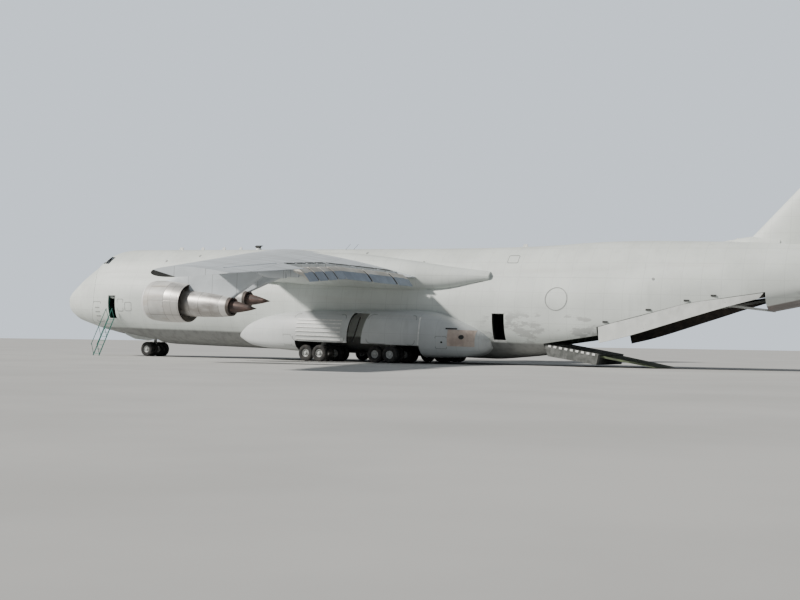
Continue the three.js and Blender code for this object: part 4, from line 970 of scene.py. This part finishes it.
for part, (y, s, z) in engines.items():
    cowl = addMesh(f"cowl{part.title()}Left", *engineSpin(cowlRows, y, s, z, closed=True), paints["cowl"],
                   "airframe", "cowl_paint", 40)
    centre = toRow(s, y, z)
    aft = toRow(s + cos(engineTilt), y, z - sin(engineTilt)) - centre
    aft /= np.linalg.norm(aft)
    upward = np.cross(aft, outward) * -1
    # exit vanes: thin plates from the core out to the cowl
    vanes = [loftShape([[centre + modelScale * (aft * a + over * b + way * r) for a, b in vanePlate]
                        for r in (0.5, 1.13)]) for way, over in spokes(40, outward, upward)]
    core = addMesh(f"core{part.title()}Left", *joinShapes([engineSpin(coreRows, y, s, z), *vanes]),
                   paints["core"], "airframe", "cowl_paint", 40)
    for thing in (cowl, core):
        mirrorThing(thing, thing.name.replace("Left", "Right"), "airframe")
    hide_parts(f"nacelle_{part}_left", f"nacelle_{part}_right")
    blades = [engineSpin(hubProfile, y, s, z, 48)]
    radii = np.linspace(fanSize["root"] - 0.06, fanSize["tip"], 9)
    swing = np.interp(radii, (fanSize["root"], fanSize["tip"]), fanSize["twist"])[:, None]
    a = fanSize["at"] + bladeLens[0] * np.cos(swing) - bladeLens[1] * np.sin(swing)
    b = bladeLens[0] * np.sin(swing) + bladeLens[1] * np.cos(swing)
    for way, over in spokes(fanSize["blades"], outward, upward):
        # a blade turns from the root's angle to the tip's
        rings = centre + modelScale * (a[..., None] * aft + b[..., None] * over + radii[:, None, None] * way)
        blades.append(loftShape(rings))
    fan = addMesh(f"fan{part.title()}Left", *joinShapes(blades), paints["fan"], f"fan_{part}_left",
                  "fan_metal")
    other = mirrorThing(fan, f"fan{part.title()}Right", f"fan_{part}_right")
    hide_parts(f"fan_{part}_left")
    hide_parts(f"fan_{part}_right")
print("engines")

# Gear pods: station, outer y, top, bottom
podRows = [(20.4, 2.5, 2.2, 1.5), (22.3, 3.6, 2.75, 0.9), (24.5, 4.6, 3.2, 0.72),
           (26.4, 5.35, 3.44, 0.65), (28.0, 5.72, 3.56, 0.61), (30.5, 5.88, 3.62, 0.6),
           (34.0, 5.9, 3.7, 0.6), (36.8, 5.88, 3.78, 0.6), (38.3, 5.78, 3.72, 0.6),
           (39.6, 5.35, 3.42, 0.62), (40.8, 4.65, 3.02, 0.72), (41.9, 3.8, 2.56, 1.0),
           (42.5, 3.05, 2.25, 1.4)]
# outline of a section: share of the way in from the outer side, share of the height
podOutline = [(1, 0), (0.27, 0), (0.12, 0.07), (0.035, 0.22), (0, 0.5), (0.03, 0.74), (0.1, 0.9),
              (0.23, 1), (0.42, 1.04), (1, 1.06)]
podSize = {"innerY": 1.0, "well": (27.8, 38.2), "edge": 1.39, "wall": 0.14,
           "gap": [(32.34, 0), (33.44, 0), (33.53, 1.25), (33.99, 3.56), (32.62, 3.56), (32.38, 1.4)]}


def podCurve(first, count):
    k = np.arange(len(podOutline))
    return smoothTable(np.column_stack([k, podOutline]), np.linspace(first, k[-1], count)).T


def podShape(s, inset=0.0):
    y, top, low = smoothTable(podRows, s).T[:, :, None]
    inward, rise = podCurve(0, 55)
    wide = y - inset - inward * (y - inset - podSize["innerY"])
    return loftShape(toRow(s[:, None], wide, low + inset + rise * (top - low - 2 * inset)))


pod = addMesh("gearPodLeft", *podShape(np.linspace(20.4, 42.5, 90)), paints["pod"])
carve(pod, box(podSize["well"], (2.2, 7), (0, podSize["edge"])), material=paints["trim"])
carve(pod, prism(podSize["gap"], 4.3, 7), material=paints["trim"])
inner = addMesh("inner", *podShape(np.linspace(27.95, 38.05, 40), podSize["wall"]))
hollow = meshShape(inner)
bpy.data.objects.remove(inner)
carve(pod, hollow, material=paints["trim"])
carve(pod, loftShape(hullRings(np.linspace(16, 46, 40), -0.003)))
settle(pod, 30)
mirrorThing(pod, "gearPodRight", "airframe")
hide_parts("gear_pod_left", "gear_pod_right")
print("pods", len(pod.data.polygons))

# Wheels: across and radius of a tyre and of its hub, up to the middle
tyreRows = [(-0.13, 0.27), (-0.165, 0.285), (-0.2, 0.34), (-0.215, 0.42), (-0.21, 0.5), (-0.19, 0.56),
            (-0.155, 0.59), (-0.115, 0.601), (-0.112, 0.592), (-0.1, 0.592), (-0.097, 0.603),
            (-0.038, 0.606), (-0.035, 0.596), (-0.022, 0.596), (-0.019, 0.606)]
hubRows = [(-0.13, 0.29), (-0.16, 0.29), (-0.165, 0.275), (-0.15, 0.26), (-0.1, 0.245), (-0.085, 0.2),
           (-0.1, 0.13), (-0.155, 0.115), (-0.165, 0.09)]
tyreRows, hubRows = (rows + [(-across, radius) for across, radius in rows[::-1]]
                     for rows in (tyreRows, hubRows))
bolts = {"count": 9, "circle": 0.165, "reach": 0.135, "radius": 0.018}


def wheelSet(name, body, centre, offsets, replaced):
    s, y, z = centre
    tyres, hubs = [], []
    for at in offsets:
        middle = toRow(s, y + at, z)
        tyres.append(spin(tyreRows, middle, (0, 1, 0), 44, closed=True))
        hubs.append(spin(hubRows, middle, (0, 1, 0), 32, closed=True))
        for v in np.arange(bolts["count"]) * 2 * pi / bolts["count"]:
            # bolts round the hub, standing out on both of its faces
            a, b = s + bolts["circle"] * cos(v), z + bolts["circle"] * sin(v)
            low, high = y + at - bolts["reach"], y + at + bolts["reach"]
            hubs.append(tube((a, low, b), (a, high, b), bolts["radius"], 6))
    reach = max(offsets) + 0.2
    axle = [(-reach, 0), (-reach, 0.075), (-reach + 0.03, 0.085)]
    axle += [(-across, radius) for across, radius in axle[::-1]]
    hubs.append(spin(axle, toRow(s, y, z), (0, 1, 0), 24))
    rubber = addMesh(name + "Tyres", *joinShapes(tyres), paints["tyre"], body, "tyre_rubber", 25)
    addMesh(name + "Hubs", *joinShapes(hubs), paints["hub"], body, "gear_paint", 30)
    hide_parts(replaced)


bogies = {"front": 2.93, "rear": -2.93}
tyreOffsets = {1: (-1.105, 1.105), 2: (-1.535, -0.675, 0.675, 1.535)}
for side, sign in (("left", 1), ("right", -1)):
    for part, x in bogies.items():
        for k, axle in ((1, 0.89), (2, -0.55)):
            body = f"main_wheels_{part}_{side}_{k}"
            s, y, z = fromGround(x + axle, 4.175 * sign, axleHeight)
            wheelSet(f"wheels{part.title()}{side.title()}{k}", body, (s, y, z), tyreOffsets[k], body)
noseAxle = fromGround(22.43, 0.0, axleHeight)
wheelSet("noseWheels", "nose_wheels", noseAxle, (-0.97, -0.48, 0.48, 0.97), "nose_wheels")
print("wheels")

# Fin with its rudders: height, front station, back station, thickness
finRows = [(8.3, 58.7, 68.7, 0.124), (18.15, 67.8, 73.95, 0.12)]
# y, front station, back station, thickness
tailRows = [(0, 67.3, 73.1, 0.11), (10.1, 72.885, 75.49, 0.1), (10.35, 73.3, 75.5, 0.07),
            (10.47, 73.9, 75.4, 0.03)]
tailHeight = 18.62
rudderShare = 0.72


def foilPart(front, back, rise, thickness, first, nose):
    return loftShape(foilRings(np.column_stack(front), np.column_stack(back), rise, thickness,
                               first=first, nose=nose))


def finPart(z, first=0.0, nose=0.0):
    s1, s2, thickness = straightTable(finRows, z).T
    return foilPart((s1, 0 * z, z), (s2, 0 * z, z), outward, thickness, first, nose)


def tailPart(y, first=0.0, nose=0.0):
    s1, s2, thickness = straightTable(tailRows, y).T
    high = np.full_like(y, tailHeight)
    return foilPart((s1, y, high), (s2, y, high), up, thickness, first, nose)


def onFin(z, share):
    s1, s2 = straightTable(finRows, z)[0, :2]
    return s1 + (s2 - s1) * share, z


def onTail(y, share):
    s1, s2 = straightTable(tailRows, y)[0, :2]
    return np.array((s1 + (s2 - s1) * share, y, tailHeight))


fin = addMesh("fin", *finPart(np.linspace(8.3, 18.15, 21)), paints["hull"])
(s1, z1), (s2, z2) = onFin(9.6, rudderShare), onFin(17.88, rudderShare)
carve(fin, prism([(s1 - 0.024, z1), (80, z1), (80, z2), (s2 - 0.024, z2)], -2, 2))
# fillet in front of the fin: half width by height, swept into the leading edge
# each row is station, top and half width
filletRows = [(57.2, 9.0, 0.05), (58.4, 9.2, 0.22), (59.55, 9.4, 0.34), (61.2, 9.5, 0.42)]
s = np.linspace(57.2, 61.6, 22)
top, half = smoothTable(filletRows, s).T[:, :, None]
turn = np.linspace(0, pi, 17)[None]
rings = toRow(s[:, None], half * 1.6 * np.cos(turn), 8.7 + (top - 8.7) * np.sin(turn) ** 0.8)
carve(fin, loftShape(rings), "UNION")
carve(fin, loftShape(hullRings(np.linspace(54, 70.3, 30), -0.003)))
settle(fin, 30)
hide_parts("fin")
for part, z in (("lower", (9.76, 13.55)), ("upper", (13.6, 17.65))):
    shape = finPart(np.linspace(*z, 9), rudderShare, 0.62)
    rudder = addMesh(f"rudder{part.title()}", *shape, paints["hull"], f"rudder_{part}", "airframe_paint")
    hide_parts(f"rudder_{part}")

tailStations = np.concatenate([np.linspace(0, 10.1, 14), [10.35, 10.47]])
tailplane = addMesh("tailplane", *tailPart(tailStations), paints["wing"])
hinge = [onTail(0.9, 0.74), onTail(10.0, 0.70)]
carve(tailplane, cutRegion(*hinge, 0.03, 0.11, 0.024, 80, (18, 20)))
carve(tailplane, mirrorShape(meshShape(tailplane)), "UNION")
# station and radius
bulletRows = [(65.3, 0), (65.4, 0.1), (65.65, 0.19), (66.2, 0.32), (66.8, 0.42), (67.8, 0.5), (68.9, 0.52),
              (70.6, 0.51), (72.4, 0.47), (73.6, 0.385), (74.8, 0.26), (75.6, 0.11), (76.15, 0)]
aft = toRow(1, 0, 0) - toRow(0, 0, 0)
bullet = spin(bulletRows, toRow(0, 0, tailHeight), aft, 40)
carve(tailplane, bullet, "UNION")
carve(tailplane, box((60, 77), (-1, 1), (17, 18.152)))
bulletCut = cutRegion(onTail(0.56, 0.74), onTail(0.95, 0.74), 0, 0, 0.024, 80, (18, 20))
carve(tailplane, bulletCut)
carve(tailplane, mirrorShape(bulletCut))
settle(tailplane, 30)
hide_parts("tailplane")
span = np.linspace(0.9, 10.0, 12)
elevatorShape = tailPart(span, np.interp(span, (0.9, 10.0), (0.74, 0.70)), 0.6)
addBoth("elevator", elevatorShape, paints["wing"], "elevator_{}", "airframe_paint", "elevator_{}")
print("tail")

# Side doors of the rear bay: share of the length, then station, y and height of the upper edge and
# of the lower one
petalRows = [(0, 50.46, 3.44, 3.12, 50.64, 3.7, 2.06), (0.18, 52.04, 3.37, 3.59, 52.04, 3.64, 2.42),
             (0.58, 56.3, 3.07, 4.82, 56.3, 3.29, 3.83), (0.8, 58.73, 2.77, 5.24, 58.73, 2.93, 4.65),
             (1, 61.0, 2.44, 5.63, 60.7, 2.48, 5.25)]
petalSize = {"thick": 0.11, "bevel": 0.31}
t = np.linspace(0, 1, 49)
edge = smoothTable(petalRows, t)[:, None]
upper, lower = edge[..., :3], edge[..., 3:]
across = np.linspace(0, 1, 9)[None, :, None]
outer = upper + (lower - upper) * across
inner = outer[:, ::-1] - (0, petalSize["thick"], 0)
inner[:, -1, 2] -= petalSize["bevel"]
inner[:, -2, 2] -= petalSize["bevel"] * 0.4
rings = toRow(*np.moveaxis(np.concatenate([outer, inner], 1), -1, 0))
doors = addBoth("petalDoor", loftShape(rings), paints["door"], "petal_{}", "airframe_paint", "petal_door_{}")
for door, sign in zip(doors, (1, -1)):
    # faces that don't look outwards get a near-black finish, painted shade on the doors' inner faces
    door.data.materials.append(paints["doorInsidePaintedShade"])
    normals = np.empty(len(door.data.polygons) * 3)
    door.data.polygons.foreach_get("normal", normals)
    door.data.polygons.foreach_set("material_index", (normals[1::3] * sign < 0.3).astype(np.int32))
print("rear doors")

# Details that lie on the hull's and the pods' skin
def podY(s, z):
    # half width of a pod at a height, read from the section's outline
    shape = np.broadcast(s, z).shape
    s, z = np.broadcast_to(s, shape).ravel(), np.broadcast_to(z, shape).ravel()
    y, top, low = smoothTable(podRows, s).T
    inward, rise = podCurve(1, 49)
    return (y - np.interp((z - low) / (top - low), rise, inward) * (y - podSize["innerY"])).reshape(shape)


def ribbon(surface, path, width=0.05, lift=0.012, closed=True):
    # thin raised line along (station, height) points, laid on a surface
    path = np.asarray(path, float)
    if closed:
        path = np.vstack([path, path[:1]])
        way = np.roll(path[:-1], -1, 0) - np.roll(path[:-1], 1, 0)
        way = np.vstack([way, way[:1]])
    else:
        way = np.gradient(path, axis=0)
    across = np.stack([-way[:, 1], way[:, 0]], -1) / np.linalg.norm(way, axis=1)[:, None] * width / 2
    sides = np.stack([path + across, path - across], 1)
    y = surface(sides[..., 0], sides[..., 1])
    high = toRow(sides[..., 0], y + lift, sides[..., 1])
    deep = toRow(sides[..., 0], y - 0.03, sides[..., 1])
    rings = np.concatenate([high, deep[:, ::-1]], 1)
    if not closed:
        return loftShape(rings)
    return rings.reshape(-1, 3), gridFaces(len(rings), 4)


def frameLine(s, z, corner=0.0):
    # rectangle of (station, height), its corners rounded by arcs of six points
    corners = ((s[1], z[1], 1, 1), (s[0], z[1], -1, 1), (s[0], z[0], -1, -1), (s[1], z[0], 1, -1))
    if not corner:
        return [place[:2] for place in corners]
    return [(cs + corner * (cos(v) - a), cz + corner * (sin(v) - b))
            for k, (cs, cz, a, b) in enumerate(corners) for v in np.linspace(k, k + 1, 6) * pi / 2]


def skinPatch(surface, s, z, lift=0.015, thick=0.05, count=(9, 9)):
    # sheet of a surface between two stations and two heights
    ss = np.linspace(*s, count[0])[:, None]
    zz = np.linspace(*z, count[1])[None]
    y = surface(ss, zz)
    high = toRow(ss, y + lift, zz)
    deep = toRow(ss, y - thick, zz)
    return loftShape(np.concatenate([high, deep[:, ::-1]], 1))


def disc(surface, s, z, radius, lift=0.02):
    turn = np.arange(14) * pi / 7
    rings = []
    for r, rise in ((radius, -0.03), (radius, lift), (0.01, lift)):
        ss, zz = s + r * np.cos(turn), z + r * np.sin(turn)
        rings.append(toRow(ss, surface(ss, zz) + rise, zz))
    return loftShape(rings)


circle = np.arange(48) * pi / 24
# ring: station, height, radius; root: a line; panels and louvres by stations and heights
marks = {
    "ring": (47.45, 4.94, 0.78), "hatch": ((43.3, 44.1), (7.45, 8.0)), "root": ((37.4, 5.5), (41.8, 6.08)),
    "panels": (((5.75, 6.75), (2.3, 3.95)), ((8.75, 9.4), (3.2, 4.2)), ((9.6, 10.3), (3.25, 3.95))),
    "louvres": ((5.95, 6.55), (2.75, 3.1, 3.45)),
    "discs": ((12.79, 7.46), (15.86, 7.93), (14.68, 5.91), (36.66, 7.46), (0.98, 3.93), (31.4, 8.2),
              (54.0, 6.4)),
    "sill": (1.84, 1.985), "edge": 0.05,
}
s, z, radius = marks["ring"]
lines = [ribbon(hullY, np.column_stack([s + radius * np.cos(circle), z + radius * np.sin(circle)]), 0.06)]
lines.append(ribbon(hullY, frameLine(*marks["hatch"], 0.1), 0.05))
lines.append(ribbon(hullY, np.linspace(*marks["root"], 9), 0.05, closed=False))
lines += [ribbon(hullY, frameLine(*panel, 0.12), 0.045) for panel in marks["panels"]]
(s1, s2), heights = marks["louvres"]
lines += [ribbon(hullY, np.linspace((s1, z), (s2, z), 5), 0.09, closed=False) for z in heights]
lines += [disc(hullY, s, z, 0.09) for s, z in marks["discs"]]
addMesh("hullMarks", *joinShapes(lines), paints["mark"], "airframe", "airframe_paint", 30)
s1, s2 = troopDoorway[0]
sills = [skinPatch(hullY, (s1 - 0.02, s2 + 0.02), marks["sill"], 0.05)]
for doorway in (crewDoorway, troopDoorway):
    around = frameLine(*((low - marks["edge"], high + marks["edge"]) for low, high in doorway))
    sills.append(ribbon(hullY, around, 0.06, 0.015))
addMesh("doorEdges", *joinShapes(sills), paints["white"], "airframe", "airframe_paint", 30)

# Aerials along the crown: station and length of each blade
aerials = {
    "blades": ((12.23, 0.5), (14.54, 0.35), (16.71, 0.35), (18.43, 0.3), (43.4, 0.45), (58.52, 0.4)),
    "mast": [(20.05, 8.82), (20.2, 8.9), (20.75, 8.9), (20.55, 8.8), (20.5, 8.62), (20.3, 8.62)],
    "rods": (28.64, 29.35), "dome": [(0, 0), (0, 0.26), (0.16, 0.2), (0.2, 0)], "domeAt": (20.4, 0, 8.5),
}
blades = []
for s, length in aerials["blades"]:
    top = smoothTable(hullRows, s)[0, 1]
    outline = [(s, top - 0.05), (s + length, top - 0.05), (s + length, top + 0.2),
               (s + 0.45 * length, top + 0.24)]
    blades.append(prism(outline, -0.03, 0.03))
blades.append(spin(aerials["dome"], toRow(*aerials["domeAt"]), up, 20))
addMesh("crownBlades", *joinShapes(blades), paints["white"], "airframe", "airframe_paint")
masts = [prism(aerials["mast"], -0.12, 0.12)]
masts += [tube((s, 0.6, 8.2), (s + 0.75, 0.6, 8.95), 0.016, 8, 0.6) for s in aerials["rods"]]
addMesh("crownMasts", *joinShapes(masts), paints["trim"], "airframe", "cabin_trim")

# Pods: slats, panel outlines, the bare patch with its round vent and the rear door's edge
# each frame is stations, heights, corner and width
podDetails = {
    "slats": ((27.95, 31.9), (1.5, 1.8, 2.1, 2.4, 2.7, 2.95), 0.09),
    "frames": (((26.65, 27.44), (1.05, 1.84), 0.05, 0.045), ((39.35, 40.05), (1.25, 2.1), 0.05, 0.045),
               ((27.6, 32.2), (1.42, 3.42), 0.3, 0.05), ((34.05, 37.9), (1.42, 3.5), 0.3, 0.05)),
    "patch": ((40.1, 41.7), (1.45, 2.6)), "plate": ((39.95, 40.6), (2.62, 2.72)),
    "discs": ((40.93, 2.1, 0.16, 0.035), (39.75, 1.7, 0.07, 0.02)),
    "strut": ((32.75, 5.55, 1.5), (33.3, 5.45, 3.3)),
}
stations, heights, slatHeight = podDetails["slats"]
slats = [skinPatch(podY, stations, (z, z + slatHeight), 0.05, 0.05, (12, 3)) for z in heights]
edge = np.column_stack([38.12 + 0.1 * np.sin(np.linspace(0, pi, 12)), np.linspace(1.42, 3.4, 12)])
slats.append(ribbon(podY, edge, 0.09, 0.04, False))
podLines = [ribbon(podY, frameLine(s, z, corner), width) for s, z, corner, width in podDetails["frames"]]
patch = skinPatch(podY, *podDetails["patch"], 0.025, 0.05, (24, 12))
vents = [disc(podY, *place) for place in podDetails["discs"]]
vents += [skinPatch(podY, *podDetails["plate"], 0.03), tube(*podDetails["strut"], 0.05, 8)]
addBoth("podSlats", joinShapes(slats), paints["white"], "airframe", "airframe_paint")
addBoth("podMarks", joinShapes(podLines), paints["mark"], "airframe", "airframe_paint")
addBoth("podPatch", patch, paints["patch"], "airframe", "airframe_paint")
addBoth("podVents", joinShapes(vents), paints["trim"], "airframe", "cabin_trim")

# Ramp: light teeth along each upper edge, and cleats across it
rampSize = {"slope": radians(8), "half": 2.78, "cleatHalf": 2.5}


def alongRamp(along, down):
    slope = rampSize["slope"]
    return (rampHinge[0] + along * cos(slope) - down * sin(slope),
            rampHinge[1] - along * sin(slope) - down * cos(slope))


def rampBars(count, start, step, length, heights, sides):
    # bars along the ramp: start and step of their places, then length, heights and sides
    bars = []
    for a in start + step * np.arange(count):
        outline = [alongRamp(a, heights[0]), alongRamp(a + length, heights[0]),
                   alongRamp(a + length, heights[1]), alongRamp(a, heights[1])]
        bars.append(prism(outline, *sides))
    return bars


half = rampSize["half"]
teeth = rampBars(9, 0.35, 0.4, 0.2, (0.16, 0.02), (half - 0.02, half + 0.03))
teeth += [mirrorShape(tooth) for tooth in teeth]
addMesh("rampTeeth", *joinShapes(teeth), paints["white"], "ramp", "ramp_paint")
cleats = rampBars(14, 0.3, 0.26, 0.07, (0.03, 0.0), (-rampSize["cleatHalf"], rampSize["cleatHalf"]))
addMesh("rampCleats", *joinShapes(cleats), paints["deck"], "ramp", "ramp_paint")

# Rear doors: dark hinge fittings along the hull's edge
fittingSize = {"places": ((50.95, 3.36), (53.82, 4.24), (56.26, 4.9), (57.95, 5.26)), "half": 0.17}
fittings = []
for s, z in fittingSize["places"]:
    y = float(hullY(s, z + 0.1)[()])
    stations = (s - fittingSize["half"], s + fittingSize["half"])
    fittings.append(box(stations, (y - 0.1, y + 0.05), (z + 0.06, z + 0.17)))
fittings += [mirrorShape(fitting) for fitting in fittings]
addMesh("doorFittings", *joinShapes(fittings), paints["trim"], "airframe", "cabin_trim")
print("details")

# Nodes carried over from the CAD and their finishes
carried = {
    "cockpit_glass": "glass", "cockpit_interior": "trim", "forward_ramp": "inside", "crew_door": "door",
    "crew_ladder": "green", "troop_door_left": "doorInsidePaintedShade", "aft_ramp": "ramp", "ramp_toe": "toe",
    "centre_cargo_door": "door", "pressure_door": "inside", "nose_gear_leg": "gear",
    "nose_gear_fork": "gear", "nose_gear_door_left": "door", "nose_gear_door_right": "door",
}
for part in ("front_left", "front_right", "rear_left", "rear_right"):
    carried[f"main_gear_{part}"] = "gear"
for name, finish in carried.items():
    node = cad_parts[name]
    node.data.materials.clear()
    node.data.materials.append(paints[finish])
print("carried over", len(carried))

# Floor, sky and sun
floorPaint = Paint("floorPaint", Roughness=0.85)
grain = floorPaint.noise(Wire(floorPaint, floorPaint.coords), 0.25, 5)
floorPaint.finish(floorPaint.mix(grain.over(0.3, 0.7), (0.40, 0.40, 0.39), (0.46, 0.46, 0.447)))
floor = addMesh("floor", [(-400, -400, 0), (400, -400, 0), (400, 400, 0), (-400, 400, 0)], [[0, 1, 2, 3]],
                floorPaint.material)
world = bpy.data.worlds.new("sky")
bpy.context.scene.world = world
world.use_nodes = True
skyTree = world.node_tree
# the camera sees a brighter sky than the one that lights the model
lighting = skyTree.nodes["Background"]
seen, choice, rays = (skyTree.nodes.new("ShaderNode" + kind)
                      for kind in ("Background", "MixShader", "LightPath"))
for background, color, strength in ((lighting, (0.80, 0.86, 0.93, 1), 0.36),
                                    (seen, (0.78, 0.86, 0.95, 1), 1.1)):
    background.inputs["Color"].default_value = color
    background.inputs["Strength"].default_value = strength
skyTree.links.new(rays.outputs["Is Camera Ray"], choice.inputs[0])
skyTree.links.new(lighting.outputs[0], choice.inputs[1])
skyTree.links.new(seen.outputs[0], choice.inputs[2])
skyTree.links.new(choice.outputs[0], skyTree.nodes["World Output"].inputs[0])
sun = bpy.data.objects.new("sun", bpy.data.lights.new("sun", "SUN"))
sun.data.energy = 5.8
sun.data.angle = radians(4)
sun.data.color = (1.0, 0.96, 0.90)
sun.rotation_euler = Vector((0.67, 0.474, 0.57)).to_track_quat("Z", "Y").to_euler()
bpy.context.scene.collection.objects.link(sun)
